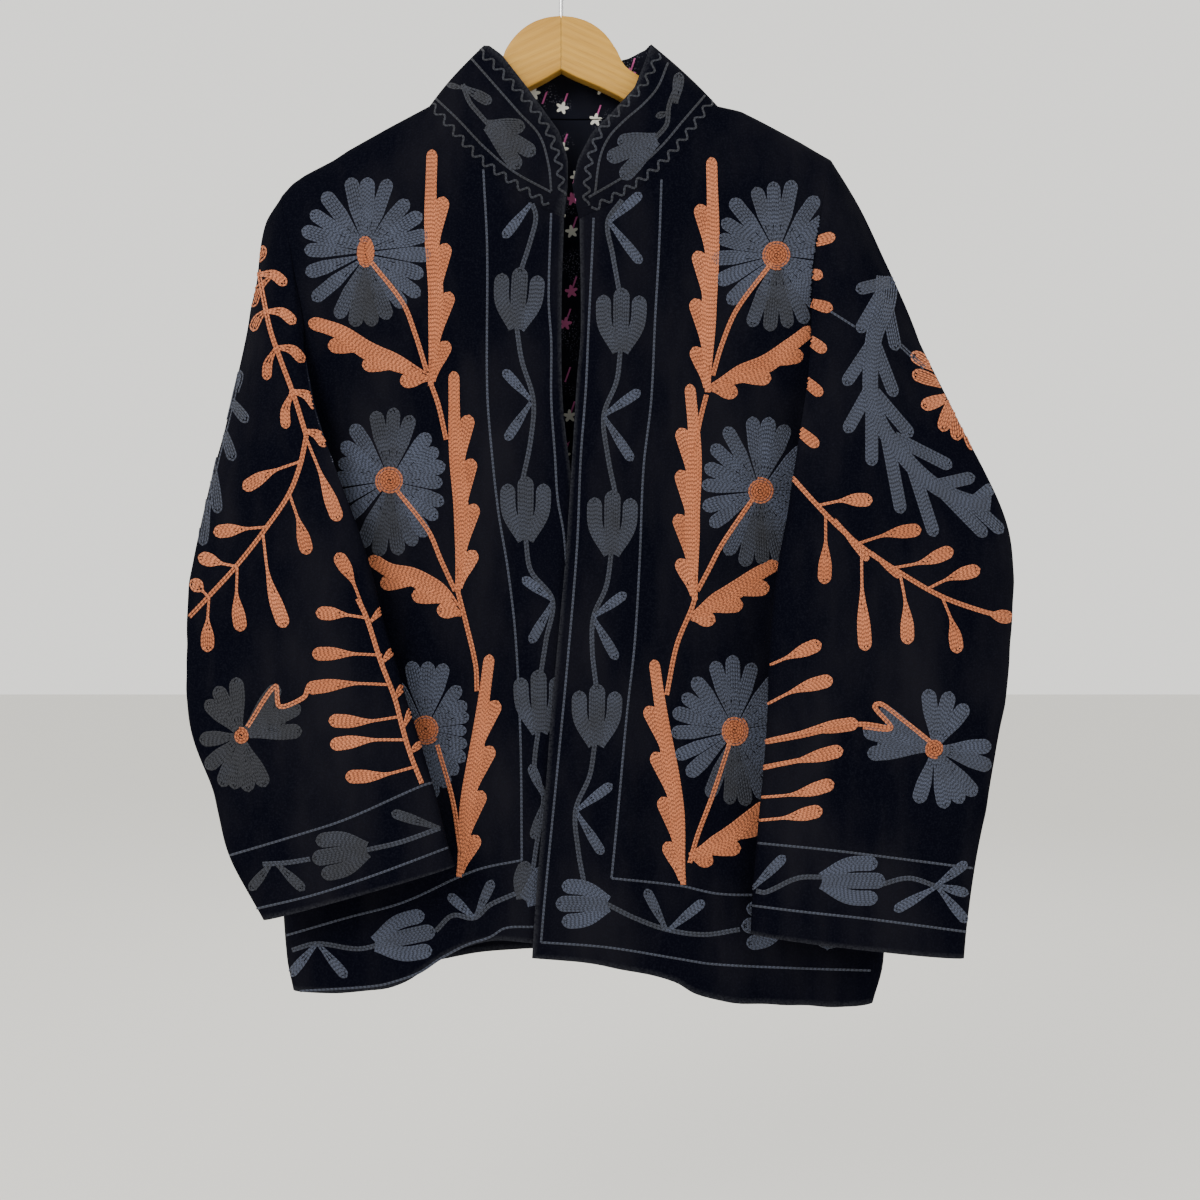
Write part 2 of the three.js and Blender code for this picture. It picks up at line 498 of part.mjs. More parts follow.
add('right_front', rightFront(), 'velvet');
add('left_front', leftFront(), 'velvet');
add('back', back(), 'velvet');
add('right_sleeve', rightSleeve(), 'velvet');
add('left_sleeve', leftSleeve(), 'velvet');
add('collar', collar(), 'velvet');
add('collar_facing', collarFacing(), 'lining');
add('back_lining', backLining(), 'lining');
add('hanger_right_arm', hangerArm(RIGHT_ARM, -1), 'hanger_wood');
add('hanger_left_arm', hangerArm(LEFT_ARM, 1), 'hanger_wood');
add('hanger_hook', hangerHook(), 'hook_metal');

export default part;
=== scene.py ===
# %% [markdown]
# # An embroidered velvet jacket on its wooden hanger
# A short open jacket hangs from a two-piece wooden hanger. Its cloth is midnight velvet with a
# printed lining, and slate and rust thread is chain-stitched over it as flowers, leaves and
# borders. The solids come first: they give every piece its size and place, so each piece in
# this lesson is made straight where it belongs and nothing has to be fitted afterwards.

# %% Load the solids
import math
import random
from bisect import bisect

import bmesh
import bpy
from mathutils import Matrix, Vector, noise
from mathutils.bvhtree import BVHTree


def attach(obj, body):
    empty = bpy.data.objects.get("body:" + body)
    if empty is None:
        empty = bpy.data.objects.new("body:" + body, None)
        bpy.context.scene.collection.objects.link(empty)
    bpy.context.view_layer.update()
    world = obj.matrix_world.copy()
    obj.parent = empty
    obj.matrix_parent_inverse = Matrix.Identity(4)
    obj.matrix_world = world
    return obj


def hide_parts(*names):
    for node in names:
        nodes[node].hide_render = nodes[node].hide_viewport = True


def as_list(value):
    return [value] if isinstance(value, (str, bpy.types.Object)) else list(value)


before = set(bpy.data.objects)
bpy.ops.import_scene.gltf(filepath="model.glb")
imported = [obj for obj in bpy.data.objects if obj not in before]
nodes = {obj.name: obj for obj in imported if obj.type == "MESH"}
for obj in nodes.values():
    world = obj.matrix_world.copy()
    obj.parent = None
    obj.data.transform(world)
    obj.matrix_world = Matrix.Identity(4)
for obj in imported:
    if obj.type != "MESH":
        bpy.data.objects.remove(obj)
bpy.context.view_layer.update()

print("solids:", ", ".join(sorted(nodes)))

# %% [markdown]
# ## Curves from short tables
# A tailor draws a pattern from a few measured points and a smooth line through them. The same
# is done here: edges are short tables in millimetres, and a curve runs smoothly through each.
# A curve object with Bezier handles could do it too, but a small function can be asked for a
# point at any share of its length, which is what a woven grid and a row of stitches need.

# %% Numbers and curves
MM = 0.001


def clamp(value, low=0.0, high=1.0):
    return max(low, min(high, value))


def smooth(t):
    t = clamp(t)
    return t * t * (3 - 2 * t)


def lerp(a, b, t):
    return a + (b - a) * t


def lookup(rows, x):
    """Piecewise straight value of a table of (x, value) rows, sorted by x."""
    i = 0
    while i < len(rows) - 2 and rows[i + 1][0] < x:
        i += 1
    (x0, a), (x1, b) = rows[i], rows[i + 1]
    return lerp(a, b, clamp((x - x0) / (x1 - x0), -2, 2))


def spline(points, length=None):
    """A smooth curve through the points; t runs from 0 to 1 by length."""
    points = [Vector(p) for p in points]
    if length is None:
        length = [0.0]
        for a, b in zip(points, points[1:]):
            length.append(length[-1] + (b - a).length)
    last = len(points) - 1
    slopes = [(points[min(i + 1, last)] - points[max(i - 1, 0)])
              / (length[min(i + 1, last)] - length[max(i - 1, 0)]) for i in range(last + 1)]

    def at(t):
        s = clamp(t) * length[-1]
        i = min(max(bisect(length, s) - 1, 0), last - 1)
        span = length[i + 1] - length[i]
        w = (s - length[i]) / span
        rise = w * w * (3 - 2 * w)
        return (points[i] * (1 - rise) + points[i + 1] * rise
                + slopes[i] * (span * w * (1 - w) ** 2) - slopes[i + 1] * (span * w * w * (1 - w)))

    at.length = length[-1]
    return at


def steps(count, ease=lambda t: t):
    return [ease(i / count) for i in range(count + 1)]


def both_ends(t):
    return (1 - math.cos(math.pi * t)) / 2


print("a curve through three points is", round(spline([(0, 0), (3, 4), (6, 8)]).length, 1), "long")

# %% [markdown]
# ## The fall of the jacket
# These tables are the jacket's own edges as it hangs, in millimetres from the inside top of the
# hook: x to the wearer's left, z up. They repeat the measures of the solids, because a finer
# sheet has to end where its solid ends. Two differ a little: the seams are closed up further, so
# that no slit of light is left in them, and the back's hem rises some millimetres more.

# %% Edges of the jacket
CLOTH_WALL, SEAM_GAP = 2.0, 0.1             # the gap is the air on each side of a seam
FRONT_FULLNESS, BACK_FULLNESS = 30, 25      # how far the cloth stands out from the shoulder plane
RIDGE_ROUND, SIDE_ROUND = 12, 7             # how roundly it rolls over shoulder and side seam
LAP, LAP_FROM, LAP_FULL = 3.8, 75, 42       # the left front's step over the right one
COLLAR_WALL, FACING_WALL, FACING_AIR, COLLAR_ROLL = 1.5, 1.2, 1.1, 2.5
LINING_WALL, LINING_AIR = 1.2, 1.1

RIGHT_TIP, LEFT_TIP = (-222, -208), (215, -180)
RIGHT_NECK, LEFT_NECK = (-105, -137), (125, -137)
RIGHT_UNDERARM, LEFT_UNDERARM = (-218, -400), (231, -400)
RIDGE = [(-222, -208), (-214, -199), (-204, -192), (-181, -180), (-169, -172), (-137, -154),
         (-105, -137), (0, -72), (125, -137), (143, -141), (159, -149), (191, -166), (201, -172),
         (215, -180), (225, -190)]
RIGHT_NECKLINE = [RIGHT_NECK, (-96, -151), (-83, -171), (-62, -190), (-36, -210), (-16, -224),
                  (3, -232)]
LEFT_NECKLINE = [LEFT_NECK, (115, -149), (109, -159), (95, -182), (78, -197), (55, -213),
                 (34, -225), (15, -234)]
BACK_NECKLINE = [RIGHT_NECK, (-94, -137), (-50, -139), (3, -140), (60, -139), (110, -136),
                 LEFT_NECK]
RIGHT_EDGE = [(3, -232), (1, -298), (2, -376), (9, -438), (16, -500), (23, -558), (27, -662),
              (29, -735), (30, -804)]
LEFT_EDGE = [(15, -234), (16, -322), (13, -360), (11, -393), (7, -456), (4, -500), (-1, -555),
             (-7, -620), (-12, -685), (-18, -751), (-22, -810)]
RIGHT_HEM = [(-214, -842), (-177, -840), (-143, -836), (-120, -829), (-107, -821), (-91, -810),
             (-73, -802), (-51, -797), (-24, -799), (4, -802), (30, -804)]
LEFT_HEM = [(249, -852), (231, -852), (180, -848), (128, -844), (106, -839), (90, -830),
            (62, -822), (23, -814), (-22, -810)]
BACK_HEM = [(-214, -842), (-150, -835), (-60, -817), (30, -818), (120, -832), (200, -846),
            (249, -852)]
RIGHT_SIDE = [RIGHT_UNDERARM, (-222, -531), (-225, -675), (-223, -760), (-219, -818), (-214, -842)]
LEFT_SIDE = [LEFT_UNDERARM, (241, -531), (251, -691), (258, -790), (257, -823), (249, -852)]
RIGHT_ARMHOLE = [RIGHT_TIP, (-217, -231), (-212, -252), (-207, -281), (-201, -312), (-201, -343),
                 (-207, -374), RIGHT_UNDERARM]
LEFT_ARMHOLE = [LEFT_TIP, (208, -207), (202, -240), (197, -281), (196, -320), (203, -359),
                (216, -385), LEFT_UNDERARM]
RIGHT_BACK_ARMHOLE = [RIGHT_TIP, (-221, -226), (-219, -244), (-217, -280), (-214, -320),
                      (-213, -357), (-215, -382), RIGHT_UNDERARM]
LEFT_BACK_ARMHOLE = [LEFT_TIP, (213, -201), (210, -236), (207, -276), (207, -316), (213, -357),
                     (222, -382), LEFT_UNDERARM]
print("hem to shoulder:", RIGHT_TIP[1] - RIGHT_HEM[0][1], "mm at the right side")

# %% [markdown]
# ## How far the cloth stands out
# Hanging cloth bellies away from the shoulder line, rolls over at the ridge and the side seams,
# and falls in a few soft folds. A simulation would find some shape of its own, but the fall has
# to keep to the solids, so it is given as a depth for every point. Low waves of noise, longer
# than they are wide, add the unevenness that velvet keeps from being folded.

# %% Depth of the hanging cloth
FRONT_FOLDS = [(-132, 5, 13, -640), (-176, 3, 12, -600), (138, 6, 14, -600), (176, 4, 12, -640),
               (210, 3, 10, -560)]            # x, height, half width, z where the fold starts
BACK_FOLDS = [(-120, 5, 18, -520), (-20, 4, 20, -600), (70, 5, 18, -480), (165, 5, 16, -560)]
FOLD_RUN = 160                                # a fold is at full height after this length


def ridge_height(x):
    return lookup(RIDGE, x)


def side_x(side, underarm, outward, z):
    if z > underarm[1]:
        return underarm[0] + outward * (z - underarm[1])
    return lookup([(-h, x) for x, h in side], -z)


def right_side(z):
    return side_x(RIGHT_SIDE, RIGHT_UNDERARM, -1, z)


def left_side(z):
    return side_x(LEFT_SIDE, LEFT_UNDERARM, 1, z)


def roll(distance, radius, full):
    return math.sqrt(1 - math.exp(-2 * radius * max(distance, 0) / full ** 2))


def fullness(x, z, full):
    return (full * roll(ridge_height(x) - z, RIDGE_ROUND, full)
            * roll(x - right_side(z), SIDE_ROUND, full) * roll(left_side(z) - x, SIDE_ROUND, full))


def folds(rows, x, z):
    return sum(high * smooth((start - z) / FOLD_RUN) * math.exp(-((x - at) / half) ** 2)
               for at, high, half, start in rows)


def wave(x, z, seed):
    """Soft lengthwise waves that fade out at the shoulder, the sides and the seams."""
    calm = (smooth((ridge_height(x) - z - 10) / 80) * smooth((x - right_side(z)) / 40)
            * smooth((left_side(z) - x) / 40))
    broad = noise.noise(Vector((x / 34, seed, z / 150)))
    narrow = noise.noise(Vector((x / 13, seed + 9, z / 55)))
    return calm * (2.2 * broad + 0.5 * narrow)


def front_y(x, z, from_side):
    return (-SEAM_GAP - fullness(x, z, FRONT_FULLNESS) - wave(x, z, 1)
            - folds(FRONT_FOLDS, x, z) * roll(from_side, SIDE_ROUND, FRONT_FULLNESS))


def right_front_y(x, z):
    return front_y(x, z, x - right_side(z))


def left_front_y(x, z):
    return front_y(x, z, left_side(z) - x) - LAP * smooth((LAP_FROM - x) / (LAP_FROM - LAP_FULL))


def back_y(x, z):
    return (SEAM_GAP + fullness(x, z, BACK_FULLNESS) + wave(x, z, 4)
            + folds(BACK_FOLDS, x, z) * fullness(x, z, 1))


print("the front stands out", round(-right_front_y(-100, -500)), "mm at the chest")

# %% [markdown]
# ## Finishes
# Each finish is a small network of nodes. What two finishes share, such as the chain stitch of the
# slate and the rust thread, is a node group with named inputs. Patterns read Object coordinates,
# which are the jacket's own metres, so a nap or a grain has the same scale on every piece.

# %% Building materials
def node(tree, kind, inputs=None, **settings):
    made = tree.nodes.new(kind)
    for name, value in settings.items():
        setattr(made, name, value)
    for name, value in (inputs or {}).items():
        socket = made.inputs[name]
        if isinstance(value, bpy.types.NodeSocket):
            tree.links.new(value, socket)
        else:
            socket.default_value = value
    return made


def sum_of(tree, operation, a, b=0.0, c=0.0, use_clamp=False):
    return node(tree, "ShaderNodeMath", {0: a, 1: b, 2: c}, operation=operation,
                use_clamp=use_clamp).outputs[0]


def times(tree, a, b):
    return sum_of(tree, "MULTIPLY", a, b)


def mixed(tree, share, a, b):
    return node(tree, "ShaderNodeMix", {0: share, 6: a, 7: b}, data_type="RGBA").outputs[2]


def ranged(tree, value, low, high, to_low=0.0, to_high=1.0):
    return node(tree, "ShaderNodeMapRange", {"Value": value, "From Min": low, "From Max": high,
                                             "To Min": to_low, "To Max": to_high}).outputs[0]


def noise_of(tree, vector, scale, detail=2.0, roughness=0.5):
    return node(tree, "ShaderNodeTexNoise", {"Vector": vector, "Scale": scale, "Detail": detail,
                                             "Roughness": roughness}).outputs[0]


def stretched(tree, vector, scale, turn=(0, 0, 0)):
    return node(tree, "ShaderNodeMapping", {"Vector": vector, "Scale": scale,
                                            "Rotation": turn}).outputs[0]


def finish(name, **sockets):
    material = bpy.data.materials.new(name)
    material.use_nodes = True
    tree = material.node_tree
    shader = tree.nodes["Principled BSDF"]
    for socket, value in sockets.items():
        shader.inputs[socket.replace("_", " ")].default_value = value
    coords = node(tree, "ShaderNodeTexCoord").outputs["Object"]
    return material, tree, shader, coords


def plug(tree, shader, **outputs):
    for socket, output in outputs.items():
        tree.links.new(output, shader.inputs[socket.replace("_", " ")])


def colour(r, g, b):
    return (r, g, b, 1.0)


def raised(tree, shader, height, distance, strength=1.0):
    bump = node(tree, "ShaderNodeBump", {"Height": height, "Distance": distance,
                                         "Strength": strength})
    plug(tree, shader, Normal=bump.outputs[0])


# %% [markdown]
# Velvet is near black from the front and paler where its pile is brushed aside or rubbed thin.
# Broad noise stretched down the cloth stands for the brushed nap, fine noise for the pile's tufts,
# and a mark near the free edges lightens them: partly rubbed pile, partly painted sheen where the
# pile rolls over the edge. Sheen on the shader does what the pile's tips do.

# %% Velvet
def make_velvet():
    material, tree, shader, coords = finish(
        "velvet", Roughness=0.9, Sheen_Weight=0.004, Sheen_Roughness=0.35,
        Sheen_Tint=colour(0.55, 0.6, 0.8), Specular_IOR_Level=0.01)
    nap = noise_of(tree, stretched(tree, coords, (1, 1, 0.35)), 22, 3, 0.55)
    tuft = noise_of(tree, coords, 700, 2, 0.6)
    # The edge mark lightens the free edges: partly rubbed pile, partly painted sheen.
    wear_and_sheen = node(tree, "ShaderNodeAttribute", attribute_name="wear_and_sheen").outputs["Fac"]
    brushed = times(tree, ranged(tree, nap, 0.42, 0.7), 0.85)
    base = mixed(tree, brushed, colour(0.0014, 0.0016, 0.0040), colour(0.0062, 0.0060, 0.0086))
    speck = mixed(tree, ranged(tree, tuft, 0.45, 0.8, 0, 0.5), base,
                  colour(0.0072, 0.0076, 0.0125))
    rubbed_and_sheen = times(tree, wear_and_sheen, ranged(tree, tuft, 0.3, 0.6, 0.1, 0.8))
    plug(tree, shader, Base_Color=mixed(tree, rubbed_and_sheen, speck, colour(0.022, 0.023, 0.028)),
         Roughness=ranged(tree, nap, 0.3, 0.7, 0.95, 0.75))
    raised(tree, shader, sum_of(tree, "ADD", times(tree, nap, 0.6), tuft), 0.0006, 0.5)
    return material


velvet = make_velvet()
print("velvet has", len(velvet.node_tree.nodes), "nodes")

# %% [markdown]
# The lining is a dark smooth cloth printed with scattered little flowers, white and pink, on thin
# stems, and a dust of fine dots. A Voronoi texture places one flower in each cell: the distance
# from the cell's own point, read against the angle round it, gives five blunt petals. A narrow
# slanted band below the point is the flower's stalk.

# %% Lining
FLOWERS_A_METRE, DOTS_A_METRE = 40.0, 420.0
FLOWER_RADIUS, PETAL_SWELL, PETALS_ROUND = 0.0040, 0.0014, 5.0      # metres, metres, a number
STALK_LONG, STALK_HALF, STALK_SLANT = 0.012, 0.0007, 0.35


def make_lining():
    material, tree, shader, coords = finish("lining", Roughness=0.6, Sheen_Weight=0.002,
                                            Specular_IOR_Level=0.03)
    flat = stretched(tree, coords, (1, 0, 1), (math.radians(90), 0, 0))
    cells = node(tree, "ShaderNodeTexVoronoi", {"Vector": flat, "Scale": FLOWERS_A_METRE,
                                                "Randomness": 0.8}, voronoi_dimensions="2D")
    offset = node(tree, "ShaderNodeVectorMath", {0: flat, 1: cells.outputs["Position"]},
                  operation="SUBTRACT").outputs[0]
    part = node(tree, "ShaderNodeSeparateXYZ", {0: offset})
    angle = sum_of(tree, "ARCTAN2", part.outputs[1], part.outputs[0])
    picked = node(tree, "ShaderNodeSeparateColor", {0: cells.outputs["Color"]})
    round_it = times(tree, angle, PETALS_ROUND)
    turned = sum_of(tree, "MULTIPLY_ADD", picked.outputs[0], 6.0, round_it)
    petal = sum_of(tree, "MULTIPLY_ADD", sum_of(tree, "COSINE", turned), PETAL_SWELL,
                   FLOWER_RADIUS)
    reach = node(tree, "ShaderNodeVectorMath", {0: offset}, operation="LENGTH").outputs["Value"]
    flower = sum_of(tree, "LESS_THAN", reach, petal)
    sown = times(tree, flower, sum_of(tree, "GREATER_THAN", picked.outputs[1], 0.25))
    dots = node(tree, "ShaderNodeTexVoronoi", {"Vector": flat, "Scale": DOTS_A_METRE},
                voronoi_dimensions="2D")
    patches = ranged(tree, noise_of(tree, flat, 30), 0.52, 0.62)
    dot = sum_of(tree, "LESS_THAN", dots.outputs["Distance"], 0.22)
    dust = times(tree, dot, patches)
    ground = mixed(tree, noise_of(tree, flat, 60), colour(0.003, 0.0034, 0.0075),
                   colour(0.006, 0.0068, 0.0125))
    dusted = mixed(tree, times(tree, dust, 0.5), ground, colour(0.14, 0.14, 0.18))
    print_colour = mixed(tree, sum_of(tree, "GREATER_THAN", picked.outputs[2], 0.68),
                         colour(0.62, 0.62, 0.56), colour(0.5, 0.11, 0.27))
    beside = sum_of(tree, "MULTIPLY_ADD", part.outputs[1], STALK_SLANT, part.outputs[0])
    lean = sum_of(tree, "ABSOLUTE", beside)
    below = times(tree, sum_of(tree, "LESS_THAN", part.outputs[1], 0.0),
                   sum_of(tree, "GREATER_THAN", part.outputs[1], -STALK_LONG))
    stalk = times(tree, sum_of(tree, "LESS_THAN", lean, STALK_HALF), below)
    stalked = mixed(tree, stalk, dusted, colour(0.4, 0.09, 0.24))
    plug(tree, shader, Base_Color=mixed(tree, sown, stalked, print_colour))
    weave = noise_of(tree, stretched(tree, coords, (1, 1, 0.2)), 1800, 1)
    raised(tree, shader, weave, 0.0002, 0.3)
    return material


lining = make_lining()
print("lining has", len(lining.node_tree.nodes), "nodes")

# %% [markdown]
# The hanger is pale varnished wood sawn along the grain, which slants a little down each arm. The
# rings of a log are a wave texture bent by noise, stretched long along the arm, with fine pores.

# %% Hanger wood
def make_wood(slant):
    material, tree, shader, coords = finish("hanger_wood", Roughness=0.5, Specular_IOR_Level=0.25,
                                            Coat_Weight=0.02, Coat_Roughness=0.3)
    along = stretched(tree, coords, (1, 1, 1), (0, slant, 0))
    long = stretched(tree, along, (0.16, 1, 1))
    rings = node(tree, "ShaderNodeTexWave", {"Vector": long, "Scale": 55.0, "Distortion": 6.0,
                                             "Detail": 2.0, "Detail Scale": 0.7},
                 wave_type="BANDS", bands_direction="Z").outputs["Fac"]
    pores = noise_of(tree, stretched(tree, along, (0.05, 1, 1)), 900, 3, 0.6)
    tone = noise_of(tree, long, 30, 2)
    base = mixed(tree, rings, colour(0.41, 0.215, 0.028), colour(0.46, 0.25, 0.04))
    toned = mixed(tree, ranged(tree, tone, 0.35, 0.7), base, colour(0.33, 0.16, 0.02))
    pored = mixed(tree, ranged(tree, pores, 0.5, 0.75, 0, 0.45), toned, colour(0.23, 0.105, 0.018))
    plug(tree, shader, Base_Color=pored, Roughness=ranged(tree, pores, 0.3, 0.7, 0.36, 0.5))
    raised(tree, shader, pores, 0.0002, 0.4)
    return material


def make_metal():
    material, tree, shader, coords = finish("hook_metal", Metallic=1.0, Roughness=0.3)
    drawn = noise_of(tree, coords, 600, 2)
    plug(tree, shader, Base_Color=mixed(tree, drawn, colour(0.42, 0.42, 0.43),
                                        colour(0.56, 0.56, 0.57)),
         Roughness=ranged(tree, drawn, 0.3, 0.7, 0.25, 0.4))
    return material


nodes["hanger_hook"].data.materials.clear()
nodes["hanger_hook"].data.materials.append(make_metal())
print("the hook keeps its solid and gets its wire")

# %% [markdown]
# ## Thread
# A chain stitch is a row of loops, each coming out of the one before, so a row looks plaited: two
# strands with a groove between them and a notch at every link. One node group makes this
# from the marks the rows carry, and both threads use it with their own two colours. It puts out
# the colour and the height, and each thread's own shader does the rest. The colour is darkened in
# the groove, the notches and along a row's edges: that darkness is painted shade.

# %% Chain stitch as a node group
LINK = 3.2                         # mm of one link of the chain
NOTCH_SLANT = 0.42                 # the share of a link by which a notch trails at the row's edge


def chain_stitch_group():
    group = bpy.data.node_groups.new("chain_stitch", "ShaderNodeTree")
    for title in ("Dark", "Light"):
        group.interface.new_socket(title, in_out="INPUT", socket_type="NodeSocketColor")
    group.interface.new_socket("Object", in_out="INPUT", socket_type="NodeSocketVector")
    group.interface.new_socket("Colour", in_out="OUTPUT", socket_type="NodeSocketColor")
    group.interface.new_socket("Height", in_out="OUTPUT", socket_type="NodeSocketFloat")
    given = node(group, "NodeGroupInput").outputs
    put = node(group, "NodeGroupOutput")
    mark = node(group, "ShaderNodeAttribute", attribute_name="stitch").outputs["Vector"]
    part = node(group, "ShaderNodeSeparateXYZ", {0: mark})
    off = sum_of(group, "ABSOLUTE", part.outputs[1])
    slanted = sum_of(group, "MULTIPLY_ADD", part.outputs[0], 1 / LINK,
                     times(group, off, -NOTCH_SLANT))
    within = sum_of(group, "FRACT", slanted)
    notch = sum_of(group, "ABSOLUTE", sum_of(group, "SUBTRACT", within, 0.5))
    plump = ranged(group, notch, 0.5, 0.26)
    groove = ranged(group, off, 0.02, 0.26)
    rim = ranged(group, off, 1.0, 0.72)
    strand = times(group, times(group, plump, rim), ranged(group, groove, 0, 1, 0.3, 1))
    fibre = noise_of(group, given["Object"], 2600, 2, 0.6)
    fade = noise_of(group, given["Object"], 45, 2, 0.6)
    shade = sum_of(group, "ADD", part.outputs[2], ranged(group, fade, 0.3, 0.7, -0.14, 0.14),
                   use_clamp=True)
    base = mixed(group, shade, given["Dark"], given["Light"])
    # Painted shade: the colour darkens in the groove, the notches and at the row's edges, where the
    # strands dip.
    groove_shaded = mixed(group, ranged(group, strand, 0, 1, 0.86, 0.0), base, colour(0.006, 0.006, 0.008))
    spun = mixed(group, ranged(group, fibre, 0.35, 0.75, 0.0, 0.5), groove_shaded, given["Dark"])
    group.links.new(spun, put.inputs["Colour"])
    group.links.new(sum_of(group, "MULTIPLY_ADD", fibre, 0.25, strand), put.inputs["Height"])
    return group


chain_stitch = chain_stitch_group()


def make_thread(name, dark, light):
    material, tree, shader, coords = finish(name, Roughness=0.66, Sheen_Weight=0.03,
                                            Sheen_Roughness=0.4, Specular_IOR_Level=0.18)
    stitch = node(tree, "ShaderNodeGroup", node_tree=chain_stitch)
    stitch.inputs["Dark"].default_value, stitch.inputs["Light"].default_value = dark, light
    tree.links.new(coords, stitch.inputs["Object"])
    plug(tree, shader, Base_Color=stitch.outputs["Colour"])
    raised(tree, shader, stitch.outputs["Height"], 0.0007)
    return material


grey_thread = make_thread("grey_thread", colour(0.029, 0.031, 0.039), colour(0.078, 0.093, 0.144))
rust_thread = make_thread("rust_thread", colour(0.42, 0.12, 0.045), colour(0.74, 0.26, 0.12))
print("two threads share the group", chain_stitch.name)

# %% [markdown]
# ## Flat patterns
# A front, like any tailored panel, lies between four edges: shoulder and neckline on top, hem
# below, armhole and side seam on one side and the open edge on the other. A Coons patch blends
# the four edges into a grid of points. It is the usual way to fill a pattern, and it keeps the
# grid's own border exactly on the seams.

# %% Patterns of the panels
ARM_SHARE = 0.42                   # this share of a panel's side is armhole, the rest side seam
NECK_SHARE = 0.5                   # and this share of a front's top is shoulder
BACK_NECK = (0.3, 0.7)             # where the neck starts and ends along the back's top
ARM_ROWS, SIDE_ROWS = 44, 84       # grid rows along the armhole and along the side seam
SHOULDER_COLS, NECK_COLS = 34, 42

body_rows = ([t * ARM_SHARE for t in steps(ARM_ROWS, both_ends)]
             + [lerp(ARM_SHARE, 1, t) for t in steps(SIDE_ROWS)[1:]])
shoulder_cols = steps(SHOULDER_COLS, lambda t: t ** 1.5)
front_cols = ([t * NECK_SHARE for t in shoulder_cols]
              + [lerp(NECK_SHARE, 1, t) for t in steps(NECK_COLS, lambda t: t ** 1.2)[1:]])
back_cols = ([t * BACK_NECK[0] for t in shoulder_cols]
             + [lerp(*BACK_NECK, t) for t in steps(NECK_COLS)[1:]]
             + [1 - t * (1 - BACK_NECK[1]) for t in reversed(shoulder_cols)][1:])


def joined(shares, curves):
    """Curves joined end to end at the given shares of 0 to 1."""
    def at(t):
        i = 0
        while i < len(curves) - 1 and t > shares[i + 1]:
            i += 1
        return curves[i]((t - shares[i]) / (shares[i + 1] - shares[i]))
    return at


def shoulder(tip, neck):
    def at(t):
        x = lerp(tip[0], neck[0], t)
        return Vector((x, ridge_height(x)))
    return at


def patch(top, bottom, left, right, cols, rows):
    tops, bottoms = [top(u) for u in cols], [bottom(u) for u in cols]
    a, b, c, d = tops[0], tops[-1], bottoms[0], bottoms[-1]
    grid = []
    for v in rows:
        start, end = left(v), right(v)
        grid.append([(1 - v) * tops[j] + v * bottoms[j] + (1 - u) * start + u * end
                     - (1 - u) * (1 - v) * a - u * (1 - v) * b - (1 - u) * v * c - u * v * d
                     for j, u in enumerate(cols)])
    return grid


def front_pattern(tip, neck, neckline, edge, hem, armhole, side):
    top = joined([0, NECK_SHARE, 1], [shoulder(tip, neck), spline(neckline)])
    outside = joined([0, ARM_SHARE, 1], [spline(armhole), spline(side)])
    return patch(top, spline(hem), outside, spline(edge), front_cols, body_rows)


def back_pattern():
    top = joined([0, *BACK_NECK, 1], [shoulder(RIGHT_TIP, RIGHT_NECK), spline(BACK_NECKLINE),
                                      shoulder(LEFT_NECK, LEFT_TIP)])
    right = joined([0, ARM_SHARE, 1], [spline(RIGHT_BACK_ARMHOLE), spline(RIGHT_SIDE)])
    left = joined([0, ARM_SHARE, 1], [spline(LEFT_BACK_ARMHOLE), spline(LEFT_SIDE)])
    return patch(top, spline(BACK_HEM), right, left, back_cols, body_rows)


def hung(pattern, depth):
    return [[Vector((p.x, depth(p.x, p.y), p.y)) for p in row] for row in pattern]


right_pattern = front_pattern(RIGHT_TIP, RIGHT_NECK, RIGHT_NECKLINE, RIGHT_EDGE, RIGHT_HEM,
                              RIGHT_ARMHOLE, RIGHT_SIDE)
left_pattern = front_pattern(LEFT_TIP, LEFT_NECK, LEFT_NECKLINE, LEFT_EDGE, LEFT_HEM,
                             LEFT_ARMHOLE, LEFT_SIDE)
print("a front's grid:", len(right_pattern), "rows of", len(right_pattern[0]))

# %% [markdown]
# ## From a pattern to a wall of cloth
# Every cloth piece starts as bmesh's own grid. Its vertices are moved onto the pattern, a sleeve's
# two long edges are merged into a tube, and the faces are turned to the outside. A Solidify
# modifier then grows the wall inwards, so that the outer skin stays where the solid has it, and
# a Bevel rounds the cut edges. Modifiers are kept live, as their sizes can be changed later.

# %% Making cloth pieces
def outline_normals(grid, ring):
    """Unit normals of a grid of points, for pushing it out or in."""
    rows, cols = len(grid), len(grid[0])
    normals = []
    for i in range(rows):
        line = []
        for j in range(cols):
            before, after = j - 1, (j + 1) % cols
            if not ring:
                before, after = max(j - 1, 0), min(j + 1, cols - 1)
            across = grid[i][after] - grid[i][before]
            down = grid[min(i + 1, rows - 1)][j] - grid[max(i - 1, 0)][j]
            line.append(across.cross(down).normalized())
        normals.append(line)
    return normals


